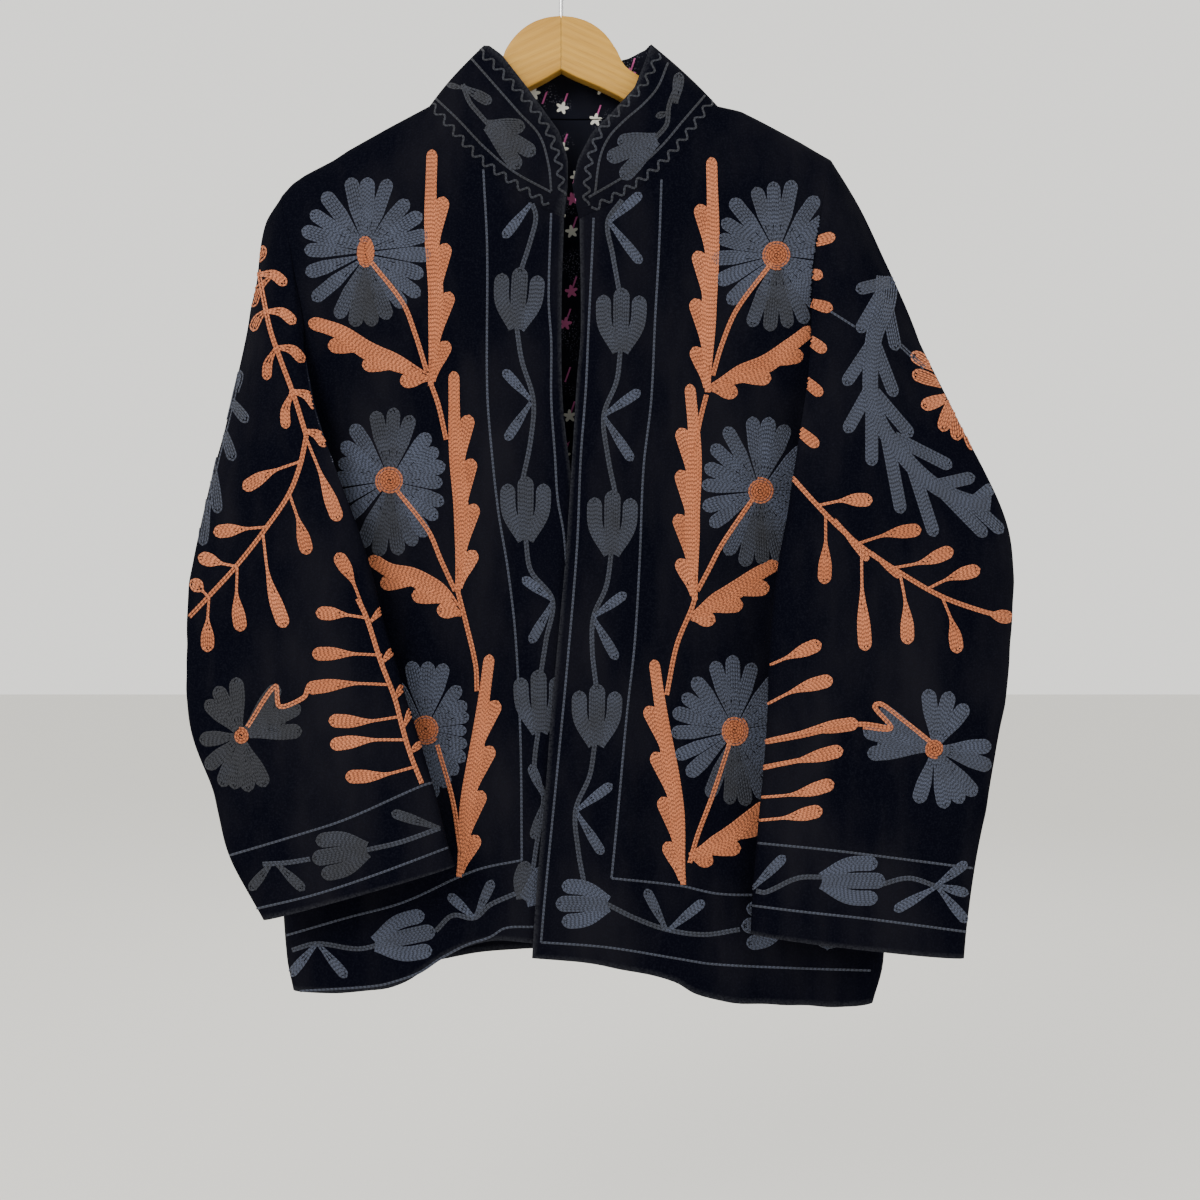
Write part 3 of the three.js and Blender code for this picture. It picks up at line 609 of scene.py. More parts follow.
def grid_mesh(grid, outside, ring, wear_and_sheen=None, share=None):
    """bmesh's grid laid over rows of points in mm; outside(point) is the way it should face."""
    rows, cols = len(grid) - 1, len(grid[0]) - (0 if ring else 1)
    bm = bmesh.new()
    bmesh.ops.create_grid(bm, x_segments=cols, y_segments=rows, size=0.5)
    # the edge mark: a lighter band at free edges, partly rubbed pile and partly painted sheen
    edge = bm.verts.layers.float.new("wear_and_sheen")
    depth = bm.verts.layers.float.new("share")
    for v in bm.verts:
        i, j = round((0.5 - v.co.y) * rows), round((v.co.x + 0.5) * cols)
        v[edge] = wear_and_sheen(i, j) if wear_and_sheen else 0
        v[depth] = share(i) if share else 1
        v.co = grid[i][j % len(grid[0])] * MM
    bmesh.ops.remove_doubles(bm, verts=bm.verts[:], dist=1e-6)
    bm.verts.index_update()
    bm.normal_update()
    if sum(f.normal.dot(outside(f.calc_center_median())) * f.calc_area() for f in bm.faces) < 0:
        bmesh.ops.reverse_faces(bm, faces=bm.faces[:])
        bm.normal_update()
    return bm


def piece_from(bm, name, materials, replaces=None):
    mesh = bpy.data.meshes.new(name)
    bm.to_mesh(mesh)
    mesh.shade_smooth()
    for material in materials:
        mesh.materials.append(material)
    piece = bpy.data.objects.new(name, mesh)
    bpy.context.collection.objects.link(piece)
    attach(piece, "root")
    if replaces:
        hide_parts(replaces)
    return piece


def add_wall(piece, thickness, inside, thin_rows):
    wall = piece.modifiers.new("wall", "SOLIDIFY")
    wall.thickness = thickness * MM
    wall.offset = -1
    wall.material_offset = inside
    if thin_rows:                  # a tight fold needs a thin wall, or its inner skins would cross
        share = piece.vertex_groups.new(name="share of the wall")
        for index, weight in thin_rows:
            share.add([index], weight, "REPLACE")
        wall.vertex_group = share.name
    rounding = piece.modifiers.new("rounded cut edge", "BEVEL")
    rounding.width = 0.25 * thickness * MM
    rounding.segments = 1
    rounding.limit_method = "ANGLE"
    rounding.angle_limit = math.radians(60)


skins = {}                         # the outer skin of each cloth piece, for laying stitches on it


def cloth(name, grid, outside, thickness, materials=None, inside=1, ring=False,
          wear_and_sheen=None, share=None):
    bm = grid_mesh(grid, outside, ring, wear_and_sheen, share)
    skins[name] = BVHTree.FromBMesh(bm)
    piece = piece_from(bm, name + "_cloth", materials or [velvet, lining], name)
    area = sum(f.calc_area() for f in bm.faces)
    depth = bm.verts.layers.float.get("share")
    thin = [(v.index, v[depth]) for v in bm.verts] if share else None
    bm.free()
    add_wall(piece, thickness, inside, thin)
    print(piece.name, len(piece.data.polygons), "faces,", round(area, 4), "square metres")
    return piece


# %% [markdown]
# ## The two fronts and the back
# The left front laps over the right one by a few millimetres. Each vertex carries a mark of how
# near it lies to a free edge, and the cloth's finish paints the edge lighter with it: partly pile
# rubbed thin there, partly painted sheen where the pile rolls over.
# The fronts and the sleeves carry the lining's finish on their inner side; the back has its own
# lining inside it.

# %% Fronts and back
# The lighter edge band is partly rubbed pile and partly painted sheen.
EDGE_BAND_ROWS = 0.9                    # grid rows over which the wear at a free edge fades


def near_edge(last, index, reach=EDGE_BAND_ROWS):
    return clamp(1 - (last - index) / reach)


def hem_wear_and_sheen(i, j):
    return near_edge(len(body_rows) - 1, i)


def front_wear_and_sheen(i, j):
    return max(near_edge(len(front_cols) - 1, j), hem_wear_and_sheen(i, j))


def forward(p):
    return Vector((0, -1, 0))


def backward(p):
    return Vector((0, 1, 0))


def velvet_pieces():
    fronts = {name: cloth(name, hung(pattern, depth), forward, CLOTH_WALL, wear_and_sheen=front_wear_and_sheen)
              for name, pattern, depth in (("right_front", right_pattern, right_front_y),
                                           ("left_front", left_pattern, left_front_y))}
    return {**fronts, "back": cloth("back", hung(back_pattern(), back_y), backward, CLOTH_WALL,
                                    inside=0, wear_and_sheen=hem_wear_and_sheen)}


# %% [markdown]
# ## Sleeves
# A sleeve is a tube that starts at the armhole and ends at the cuff. Hanging, it folds forward
# over the body: its front layer hangs from the upper part of the armhole and its back layer from
# the rest. The first rings are drawn point by point for that. Each later ring is an outer fold, an
# inner fold and half its depth, and lines run smoothly from ring to ring. A curve with a bevel
# would make a round pipe, but a hanging sleeve is a flat oval. Soft ridges across it are creases.
# The head folds too tightly for a full wall, so the wall is thin there and full further down.

# %% Rings of the sleeves
RIGHT_HEAD = [                     # front layer, outer to inner fold; back layer between the folds
    ([(-236, -3, -232), (-224, -24, -262), (-209, -32, -298), (-198, -34, -338)],
      [(-204, -32, -364), (-212, -22, -391), (-221, -7, -406), (-228, 10, -388), (-229, 22, -340),
      (-231, 18, -280)]),
    ([(-243, -6, -284), (-230, -32, -318), (-209, -42, -352), (-188, -43, -384)],
      [(-197, -39, -402), (-211, -28, -413), (-224, -14, -412), (-236, 2, -390), (-242, 9, -345)]),
    ([(-256, -13, -355), (-238, -40, -388), (-208, -50, -418), (-168, -50, -441)],
      [(-188, -43, -452), (-207, -32, -450), (-226, -20, -438), (-243, -8, -412)])]
LEFT_HEAD = [
    ([(236, -3, -221), (222, -24, -240), (206, -32, -270), (196, -34, -302)], [(198, -33, -340),
      (208, -28, -376), (224, -17, -403), (238, -4, -411), (237, 12, -385), (224, 24, -335),
      (224, 19, -260)]),
    ([(252, -8, -262), (234, -36, -292), (210, -43, -325), (192.5, -40, -352)], [(197, -39, -385),
      (210, -32, -402), (228, -16, -408), (243, -2, -394), (252, 8, -355), (254, 4, -305)]),
    ([(280, -15, -320), (256, -42, -352), (220, -50, -385), (184, -47, -407)], [(197, -43, -420),
      (216, -34, -421), (238, -20, -412), (260, -6, -380), (274, -4, -345)])]
RIGHT_SLEEVE = [                   # outer x, y, z, inner x, y, z, half depth
    (-273, -22, -433, -147, -52.5, -497, 16), (-285, -28, -494, -134, -54, -547, 15),
    (-290, -34, -543, -125, -55, -579, 15), (-289, -39, -589, -114, -56, -615, 15),
    (-285, -44, -630, -104, -56, -648, 14), (-267, -48, -677, -93, -56, -684, 14),
    (-253, -50, -728, -86, -56, -715, 14), (-227, -52, -776, -80, -56, -734, 14)]
LEFT_SLEEVE = [
    (310, -22, -385, 174, -52, -468, 16), (331, -28, -430, 167, -54, -502, 15),
    (349, -33, -477, 162, -57, -546, 15), (351, -38, -530, 160, -58, -586, 15),
    (346, -42, -590, 158, -58, -625, 15), (336, -46, -647, 155, -58, -666, 14),
    (325, -49, -702, 151, -58, -704, 14), (316, -51, -752, 148, -58, -743, 14),
    (310, -52, -805, 146, -58, -785, 14)]
ARM_STEPS = 15                     # marks round half an armhole, which match it to the sleeve
RIGHT_FOLD, LEFT_FOLD = 8, 7       # the mark where the sleeve's front layer ends at its inner fold
SLEEVE_FINE, SLEEVE_ROWS = 2.8, 130        # grid columns to a mark, and rows down the sleeve
RIGHT_CAP, LEFT_CAP, CAP_ROWS = 2.5, 7, 26 # how far each head bulges, and over how many rows
HEAD_WALL, THIN_UNTIL, THIN_FADE = 0.12, 45, 35    # share of the wall at the head, and rows
SQUARE, HEAD = 0.85, 0.1                   # a ring's squareness; the head's step off the armhole
BEFORE, BEHIND = 1.15, 0.7         # a ring's depth before and behind its folds
RIGHT_CREASES = [                  # x, z of both ends, height, half width
    (-236, -236, -216, -330, 1.6, 6), (-246, -290, -204, -372, 1.6, 8),
    (-288, -520, -196, -500, 2.6, 9), (-290, -566, -190, -556, -2.2, 8),
    (-286, -600, -180, -604, 2.4, 9), (-262, -690, -150, -668, 1.6, 9),
    (-168, -480, -236, -560, 1.8, 10), (-128, -590, -190, -640, 1.6, 9)]
LEFT_CREASES = [
    (234, -226, 208, -312, 1.5, 7), (254, -272, 216, -366, 1.6, 8), (352, -520, 262, -492, 2.4, 10),
    (350, -566, 250, -556, -1.6, 9), (344, -610, 256, -618, 1.8, 10),
    (182, -486, 250, -548, 2.0, 10), (166, -590, 226, -640, 1.6, 9),
    (330, -690, 250, -700, 1.2, 10)]


def crease(rows, x, z):
    """Height of the soft ridges that cross a sleeve at (x, z)."""
    total = 0
    for x0, z0, x1, z1, high, half in rows:
        along = Vector((x1 - x0, z1 - z0))
        t = (Vector((x - x0, z - z0)).dot(along)) / along.length_squared
        off = (Vector((x - x0, z - z0)) - along * clamp(t)).length
        total += high * math.exp(-(off / half) ** 2) * smooth((1 - abs(2 * clamp(t) - 0.8)) * 1.6)
    return total


def armhole_loop(outward, front, front_depth, back_curve, fold):
    """Points round the armhole at the given marks: down its front, then up its back."""
    def at(mark):
        if mark <= ARM_STEPS:
            p, depth = front(both_ends(mark / ARM_STEPS)), front_depth
        else:
            p, depth = back_curve(both_ends(2 - mark / ARM_STEPS)), back_y
        return Vector((p.x + outward * HEAD, depth(p.x, p.y), p.y))
    return (lambda t: at(fold * t)), (lambda t: at(lerp(fold, 2 * ARM_STEPS, t)))


def plain_ring(xo, yo, zo, xi, yi, zi, half):
    def point(t, side):
        p = Vector((xo, yo, zo)).lerp(Vector((xi, yi, zi)), both_ends(t))
        p.y += side * half * math.sin(math.pi * clamp(t)) ** SQUARE
        return p
    return (lambda t: point(t, -BEFORE)), (lambda t: point(1 - t, BEHIND))


def drawn_ring(front, back):
    before, after = spline(front), spline([front[-1], *back, front[0]])
    return (lambda t: before(both_ends(t))), after


def sleeve_grid(head, rings, fold, outward, front, front_depth, back_curve, creases, cap):
    layers = [armhole_loop(outward, front, front_depth, back_curve, fold)]
    layers += [drawn_ring(*ring) for ring in head] + [plain_ring(*ring) for ring in rings]
    front_turn = steps(round(fold * SLEEVE_FINE))
    back_turn = steps(round((2 * ARM_STEPS - fold) * SLEEVE_FINE))[1:-1]
    loops = [[before(t) for t in front_turn] + [after(t) for t in back_turn]
             for before, after in layers]
    middles = [sum(loop, Vector()) / len(loop) for loop in loops]
    length = [0.0]
    for a, b in zip(middles, middles[1:]):
        length.append(length[-1] + (b - a).length)
    lines = [spline(column, length) for column in zip(*loops)]
    grid = [[line(v) for line in lines] for v in steps(SLEEVE_ROWS)]
    normals = outline_normals(grid, True)
    for i, row in enumerate(grid):
        seam = smooth((i - 3) / 18)        # the creases start a little below the armhole
        rounded = cap * math.sin(math.pi * min(1, i / CAP_ROWS)) * outward
        for j, p in enumerate(row):
            p.x += rounded * max(0, normals[i][j].z * 0.7 + normals[i][j].x * outward * 0.7)
            push = crease(creases, p.x, p.z) + noise.noise(Vector((p.x / 30, p.y / 25, p.z / 60)))
            p += normals[i][j] * (outward * push * seam)
    return grid


def away_from(rings):
    """The way out of a sleeve: to the front or back from the middle of the ring at that height."""
    middles = sorted(((zo + zi) / 2, (yo + yi) / 2 - 3) for xo, yo, zo, xi, yi, zi, _ in rings)

    def way(p):
        return Vector((0, p.y / MM - lookup(middles, p.z / MM), 0)).normalized()
    return way


def sleeves():
    # the cuff's lighter band: partly rubbed pile, partly painted sheen
    def sleeve_wear_and_sheen(i, j):
        return near_edge(SLEEVE_ROWS, i)

    def share(i):
        return lerp(HEAD_WALL, 1, smooth((i - THIN_UNTIL) / THIN_FADE))

    right = sleeve_grid(RIGHT_HEAD, RIGHT_SLEEVE, RIGHT_FOLD, -1, spline(RIGHT_ARMHOLE),
                        right_front_y, spline(RIGHT_BACK_ARMHOLE), RIGHT_CREASES, RIGHT_CAP)
    left = sleeve_grid(LEFT_HEAD, LEFT_SLEEVE, LEFT_FOLD, 1, spline(LEFT_ARMHOLE),
                       left_front_y, spline(LEFT_BACK_ARMHOLE), LEFT_CREASES, LEFT_CAP)
    return {name: cloth(name, grid, away_from(rings), CLOTH_WALL, ring=True, wear_and_sheen=sleeve_wear_and_sheen,
                        share=share)
            for name, grid, rings in (("right_sleeve", right, RIGHT_SLEEVE),
                                      ("left_sleeve", left, LEFT_SLEEVE))}


# %% [markdown]
# ## Stand collar, its facing and the lining
# The collar is one band that stands on the neck seam and falls open at the front. It is a grid
# between the seam and the free edge, given a slight outward roll. The facing is the same band
# cut a little smaller and laid inside it, and the back's lining is the back's pattern cut down.

# %% Collar, facing and lining
COLLAR_TOP_RIGHT = [               # share of the seam, x, y, z
    (0, 6, -35, -211), (0.14, 6, -35, -188), (0.3, -1, -33, -166), (0.535, -16, -28, -144),
    (0.73, -27, -21, -127), (0.88, -47, -12, -99), (0.95, -57, -6, -90), (1, -62, 2, -87)]
COLLAR_TOP_BACK = [
    (0, -62, 2, -87), (0.04, -58, 9, -88), (0.12, -46, 15, -92), (0.25, -26, 20, -97),
    (0.48, 3, 23, -100), (0.72, 31, 21, -98), (0.88, 55, 15, -93), (0.96, 68, 9, -88),
    (1, 72, 2, -86)]
COLLAR_TOP_LEFT = [
    (0, 10, -40, -209), (0.14, 14, -38, -189), (0.31, 25, -34, -167), (0.515, 41, -28, -149),
    (0.73, 58, -20, -128), (0.88, 66, -12, -106), (0.95, 70, -6, -94), (1, 72, 2, -86)]
COLLAR_COLS, COLLAR_ROWS = 44, 14
NECK_MIDDLE = Vector((8, 0, 0))
SEAT = -0.8                        # the collar starts this far below the neck seam


def moved_in(grid, depth, facing):
    """The grid moved to its inner side; its middle row starts out facing y = -1 or y = 1."""
    normals = outline_normals(grid, False)
    way = facing if normals[len(grid) // 2][5].y > 0 else -facing
    return [[p - n * depth * way for p, n in zip(row, line)] for row, line in zip(grid, normals)]


def collar_runs():
    def run(seam, depth, edge, ease, share):
        found = []
        for t in steps(COLLAR_COLS, ease):
            p = seam(t)
            top = Vector([lookup([(row[0], row[k]) for row in edge], share(t)) for k in (1, 2, 3)])
            foot = Vector((p.x, depth(p.x, p.y), p.y))
            found.append((foot + (top - foot).normalized() * SEAT, top))
        return found

    def at_neck(t):
        return t ** 1.4

    right = run(spline(RIGHT_NECKLINE), right_front_y, COLLAR_TOP_RIGHT, at_neck, lambda t: 1 - t)
    back = run(spline(BACK_NECKLINE), back_y, COLLAR_TOP_BACK, both_ends, lambda t: t)
    left = run(spline(LEFT_NECKLINE), left_front_y, COLLAR_TOP_LEFT, at_neck, lambda t: 1 - t)
    return right[::-1] + back[1:-1] + left


def collar_grid(runs, inset=0.0):
    grid = []
    for w in steps(COLLAR_ROWS):
        row = []
        for foot, top in runs:
            p = foot.lerp(top, w)
            out = Vector((p.x - NECK_MIDDLE.x, p.y, 0)).normalized()
            row.append(p + out * COLLAR_ROLL * math.sin(math.pi * w))
        grid.append(row)
    return moved_in(grid, inset, -1) if inset else grid


def from_neck(p):
    return Vector((p.x - NECK_MIDDLE.x * MM, p.y, 0)).normalized()


def back_lining_grid():
    grid = moved_in(hung(back_pattern(), back_y), CLOTH_WALL + LINING_AIR, 1)
    return [row[4:-4] for row in grid[2:-9]]


# %% [markdown]
# ## The hanger
# Each wooden arm is cut flat at the head, where it meets the other, and rounded where the cloth
# hangs on it. Sections along the arm go from a box to an oval: the same superellipse with its
# power changed on the way. The wire hook is small and plain, so its solid is shown as it is.

# %% Wooden arms
WOOD_HALF = 7.0                    # half the wood's thickness
GRAIN_SLANT = 0.42                 # radians, down each arm
RIGHT_ARM = [                      # distance from the centre seam, top z, bottom z
    (0.15, -66, -109), (12, -67.5, -116), (24, -72, -122.5), (35, -80.5, -128.5), (44, -93, -133),
    (50, -110, -138), (63, -121, -145), (92, -140.5, -161), (105, -145.5, -167),
    (137, -159.8, -181), (169, -177.3, -195.5), (195, -190.8, -207.5), (205, -197.3, -210.5),
    (209, -203, -209)]
LEFT_ARM = [
    (0.15, -66, -109), (12, -67.5, -115), (24, -72, -120), (35, -80.5, -125), (44, -93, -129.5),
    (51, -106, -133.5), (63, -114, -139.5), (105, -141, -161), (125, -146, -166), (150, -153, -174),
    (180, -165.6, -185), (200, -175.1, -193), (207, -180.6, -195), (210, -186, -193)]
ARM_SIDES, ARM_LOOPS = 56, 150
HEAD_SQUARE, ARM_SQUARE = 0.16, 0.75


def wooden_arm(name, rows, outward):
    line = spline(rows)
    grid = []
    for t in steps(ARM_LOOPS, lambda t: 0.6 * t + 0.4 * both_ends(t)):
        x, top, bottom = line(t)
        power = lerp(HEAD_SQUARE, ARM_SQUARE, smooth((x - 50) / 42))
        centre, reach = (top + bottom) / 2, (top - bottom) / 2
        half = min(WOOD_HALF, reach)
        ring = []
        for j in range(ARM_SIDES):
            a = math.tau * j / ARM_SIDES
            across, up = (math.copysign(abs(v) ** power, v) for v in (math.cos(a), math.sin(a)))
            ring.append(Vector((x * outward, half * across, centre + reach * up)))
        grid.append(ring)
    centres = [(x, (top + bottom) / 2) for x, top, bottom in rows]

    def out_of_wood(p):
        return Vector((0, p.y, p.z - MM * lookup(centres, abs(p.x) / MM))).normalized()

    bm = grid_mesh(grid, out_of_wood, ring=True)
    bmesh.ops.holes_fill(bm, edges=[e for e in bm.edges if e.is_boundary], sides=ARM_SIDES)
    wood = make_wood(-outward * GRAIN_SLANT)
    piece = piece_from(bm, name + "_wood", [wood], name)
    bm.free()
    piece.data.set_sharp_from_angle(angle=math.radians(40))
    print(piece.name, len(piece.data.polygons), "faces")


wooden_arm("hanger_right_arm", RIGHT_ARM, -1)
wooden_arm("hanger_left_arm", LEFT_ARM, 1)

# %% [markdown]
# ## Laying out the cloth
# Velvet comes first, then the collar with its facing, then the back's lining. The facing and the
# lining are copies of the pattern next to them, moved to its inner side by a wall and some air.

# %% Lay out every cloth piece
# the collar's lighter edge band: partly rubbed pile, partly painted sheen
def collar_wear_and_sheen(i, j):
    return max(near_edge(COLLAR_ROWS, i, 1.2), near_edge(8, 8 - j, 2))


def lining_piece(name, grid, outside, thickness):
    return cloth(name, grid, outside, thickness, materials=[lining], inside=0)


cloths = velvet_pieces()
cloths.update(sleeves())
neck_runs = collar_runs()
cloths["collar"] = cloth("collar", collar_grid(neck_runs), from_neck, COLLAR_WALL,
                         wear_and_sheen=collar_wear_and_sheen)
cloths["collar_facing"] = lining_piece(
    "collar_facing", collar_grid(neck_runs, COLLAR_WALL + FACING_AIR), from_neck, FACING_WALL)
cloths["back_lining"] = lining_piece("back_lining", back_lining_grid(), backward, LINING_WALL)

# %% [markdown]
# ## How the needlework is laid out
# The flowers are drawn by hand on the cloth and filled with rows of chain stitch, each row
# following the shape. The same is done here. A shape is a line with a width along it. One row
# goes round the rim and the rest share the width inside it, so they close up where the shape
# narrows, and some of them stop there. Every row is then dropped on the cloth: a ray from the eye
# through the drawing finds the velvet behind it.

# %% Rows that fill a shape
EYE = Vector((0.031, -1.250, -0.531))
SIGHT = -0.03                      # the drawing lies on this plane, seen from the eye
LANE = 1.95                        # mm from one row of stitches to the next
STITCH_STEP = 1.6                  # mm from one station of a row to the next, half a link
RIM = LANE / 2                     # mm from a shape's edge to the middle of its outer row
WAVE_LONG, WAVE_SWING = 11.0, 2.7  # mm of one wave of a wavy line, and how far it swings
drawn = {}                         # rows of stitches by (cloth piece, thread, side)


def sew(place, thread, rows, shade, level=0.0, side="front"):
    drawn.setdefault((place, thread, side), []).extend((row, shade, level) for row in rows)


def side_of(curve, t):
    along = (curve(min(t + 0.01, 1)) - curve(max(t - 0.01, 0))).normalized()
    return Vector((-along.y, along.x))


def filled(curve, half):
    """Rows of stitches filling a shape: its middle line and half its width along that line."""
    count = max(4, round(curve.length / STITCH_STEP))
    spine = [(curve(t), side_of(curve, t), half(t)) for t in steps(count)]
    left = [p + n * max(h - RIM, 0) for p, n, h in spine]
    right = [p - n * max(h - RIM, 0) for p, n, h in spine]
    rows = [left + right[::-1]]
    lanes = max(0, math.ceil(2 * (max(h for p, n, h in spine) - LANE) / LANE - 0.1))
    for k in range(lanes):
        share = (2 * k - lanes + 1) / lanes
        run = []
        for p, n, h in spine + [(None, None, 0)]:
            gap = 2 * (h - LANE) / lanes       # rows this close together are thinned out
            stride = 1 if gap > LANE * 0.5 else 2 if gap > LANE * 0.25 else 4
            if h > LANE * 1.05 and (k - lanes // 2) % stride == 0:
                run.append(p + n * share * (h - LANE))
            else:
                rows.append(run)
                run = []
    return [row for row in rows if len(row) > 2]


def bent(base, tip, bend):
    base, tip = Vector(base), Vector(tip)
    reach = tip - base
    return spline([base, base + reach * 0.5 + Vector((-reach.y, reach.x)) * bend, tip])


def round_end(t, cap):
    """Share of the width at t, where the last stretch of a shape, cap, closes in a half circle."""
    return math.sqrt(max(0, 1 - max(0, (t - 1 + cap) / cap) ** 2))


def blunt(base, tip, half, root=0.4, bend=0.0, thin=0.0):
    """A finger with a round end, narrower at its root; thin is the share that stays a stem."""
    curve = bent(base, tip, bend)
    cap = clamp(half / curve.length, 0.04, 0.5)

    def width(t):
        body = lerp(root, 1, smooth((t - thin) / (0.8 * (1 - cap - thin))))
        return half * body * round_end(t, cap)
    return filled(curve, width)


def stem(curve, rows):
    count = max(3, round(curve.length / STITCH_STEP))
    middle = (rows - 1) / 2
    return [[curve(t) + side_of(curve, t) * (k - middle) * LANE for t in steps(count)]
            for k in range(rows)]


def wavy(curve):
    turn = math.tau * curve.length / WAVE_LONG
    return [[curve(t) + side_of(curve, t) * WAVE_SWING * math.sin(turn * t)
             for t in steps(max(3, round(curve.length / 1.2)))]]


print("a finger 30 mm long takes", len(blunt((0, 0), (0, 30), 4)), "rows")

# %% [markdown]
# ## Flowers and leaves
# Each kind of motif is one function, so a flower can be placed by its centre, its size and its
# direction. Places are written flat, as x and z in turn. Sizes vary a little from petal to petal,
# as they do under a hand. Petals that point up or down are in the darker grey and those that point
# sideways in the bluer one, because light falls across the stitches of the first and along the
# stitches of the second.

# %% Motifs
rng = random.Random(7)


def toward(angle, distance):
    return Vector((math.cos(math.radians(angle)), math.sin(math.radians(angle)))) * distance


def sideways(way):
    """Shade of grey thread by the way its stitches run: 0 upright, 1 level."""
    way = Vector(way).normalized()
    return 0.12 + 0.8 * smooth(1.5 * abs(way.x) - 0.1)


PETALS = (102, 88, 73, 50, 34, 17, -2, -22, -40, -55, -70, -84, -98, -114, -139, -160, 178, 160,
          143, 124)                # degrees, counted from the viewer's right
PETAL_HALF = 5.7                   # mm, half a daisy petal's width
WEDGE = math.tan(math.radians(9.6))    # a petal's half width to its distance from the centre
HUB_MARKS = 90                     # marks along a hub's spiral
CLOVER_HALF, BAND_HALF, LOBE_HALF = 6.0, 5.2, 5.8
SHORT_LEAF = {"half": 6.4, "out": 12.5, "reach": 28, "lobe": 6.3}
BORDER, VINE, TWIG, CUFF = ("grey", 1, 0.55), ("grey", 2, 0.35), ("rust", 2, 0.6), ("grey", 1, 0.5)


def points(flat):
    return list(zip(flat[::2], flat[1::2]))


def curve_of(flat):
    return spline(points(flat))


def daisy(place, centre, across, up, hub, turn=0, shade=None, crown=0.75):
    """A daisy: petals that merge near the hub and part further out, round a spiral hub."""
    centre = Vector(centre)
    for angle in PETALS:
        angle += turn + rng.uniform(-1.5, 1.5)
        way = toward(angle, 1)
        reach = rng.uniform(0.94, 1.03) / math.hypot(way.x / across, way.y / up)
        root = centre + Vector((way.x * hub[0], way.y * hub[1])) * 0.7
        start = (root - centre).length
        long = reach - start
        half = PETAL_HALF * rng.uniform(0.93, 1.07)

        def width(t):
            return min((start + long * t) * WEDGE, half) * round_end(t, half / long)
        curve = spline([root, centre + way * reach])
        tone = max(sideways(way), way.y * crown) if shade is None else shade
        sew(place, "grey", filled(curve, width), tone * rng.uniform(0.85, 1.1))
    spiral_hub(place, centre, hub)


def spiral_hub(place, centre, hub):
    whole = math.tau * max(hub) / LANE     # the angle turned from the middle to the rim
    spiral = [Vector(centre) + Vector((math.cos(a) * hub[0], math.sin(a) * hub[1])) * a / whole
              for a in (whole * k / HUB_MARKS for k in range(4, HUB_MARKS + 1))]
    sew(place, "rust", [spiral], 0.25, 0.5)


def clover(place, centre, hub, tips, shade):
    """A flower of four petals, each cut into three round lobes that start together at the hub."""
    for tip in points(tips):
        leaf(place, Vector(centre).lerp(Vector(tip), 0.14), tip, CLOVER_HALF,
             shade=shade * rng.uniform(0.85, 1.1), root=0.42)
    spiral_hub(place, centre, hub)


def serrated(place, spine, lobes, side, half=BAND_HALF, out=11.0, reach=52.0, lobe=LOBE_HALF):
    """A feathered leaf: a band along its spine with long round lobes on one side of it."""
    curve = curve_of(spine)
    for k in range(lobes):
        t = lerp(0.19, 0.8, k / (lobes - 1))
        foot = max(t - reach / curve.length, 0.02)
        base = curve(foot) + side_of(curve, foot) * side * 1.5
        tip = curve(t) + side_of(curve, t) * side * out * rng.uniform(0.92, 1.08)
        sew(place, "rust", blunt(base, tip, lobe, 0.35, -0.06 * side), rng.uniform(0.4, 0.75),
            -0.25)

    def width(t):
        body = (lerp(0.45, 1.15, smooth(t / 0.35)) if t < 0.5
                else lerp(1.15, 0.85, smooth((t - 0.5) / 0.4)))
        return half * body * round_end(t, half / curve.length)
    sew(place, "rust", filled(curve, width), rng.uniform(0.5, 0.7), 0.1)


def tulip(place, base, tip, width=38.0, shade=None):
    """Three blunt petals opening from one base."""
    base, tip = Vector(base), Vector(tip)
    up = tip - base
    out = Vector((up.y, -up.x)).normalized()
    for way in (-1, 1):
        end = base + up * 0.88 + out * way * width * 0.37
        sew(place, "grey", blunt(base + out * way * 1.5, end, 6.0, 0.85, -0.11 * way),
            sideways(end - base) if shade is None else shade)
    sew(place, "grey", blunt(base, tip, 6.4, 0.85),
        sideways(up) * 0.6 + 0.2 if shade is None else shade, 0.15)


def leaf(place, base, tip, half=4.0, thread="grey", shade=None, bend=0.0, root=0.45, thin=0.0):
    if shade is None:
        way = Vector(tip) - Vector(base)
        shade = sideways(way) if thread == "grey" else rng.uniform(0.35, 0.8)
    sew(place, thread, blunt(base, tip, half, root, bend, thin), shade)


def bud(place, base, tip):
    """A teardrop on its own thin stem."""
    leaf(place, base, tip, 5.4, "rust", root=0.22, thin=0.34, bend=rng.uniform(-0.05, 0.05))


def each(motif, place, *ends, **how):
    """The same motif from one end to the other of each pair, given as x, z, x, z."""
    for pair in ends:
        motif(place, *points(pair), **how)


def lines(place, kind, *paths, level=0.0, side="front"):
    thread, rows, shade = kind
    for path in paths:
        sew(place, thread, stem(curve_of(path), rows), shade, level, side)


def waves(place, shade, *paths, side="front"):
    for path in paths:
        sew(place, "grey", wavy(curve_of(path)), shade, side=side)


def count_rows(place):
    print(place, "has", sum(len(rows) for key, rows in drawn.items() if key[0] == place), "rows")


print("motifs: daisy, clover, feathered leaf, tulip, leaf and bud")

# %% [markdown]
# ## Needlework of the two fronts
# A border of two straight lines runs down each front edge and along the hem, with a vine of
# tulips between them. Outside it a rust plant climbs, with three daisies. The two fronts mirror
# each other roughly, but each was drawn by hand, so each has its own table of places.

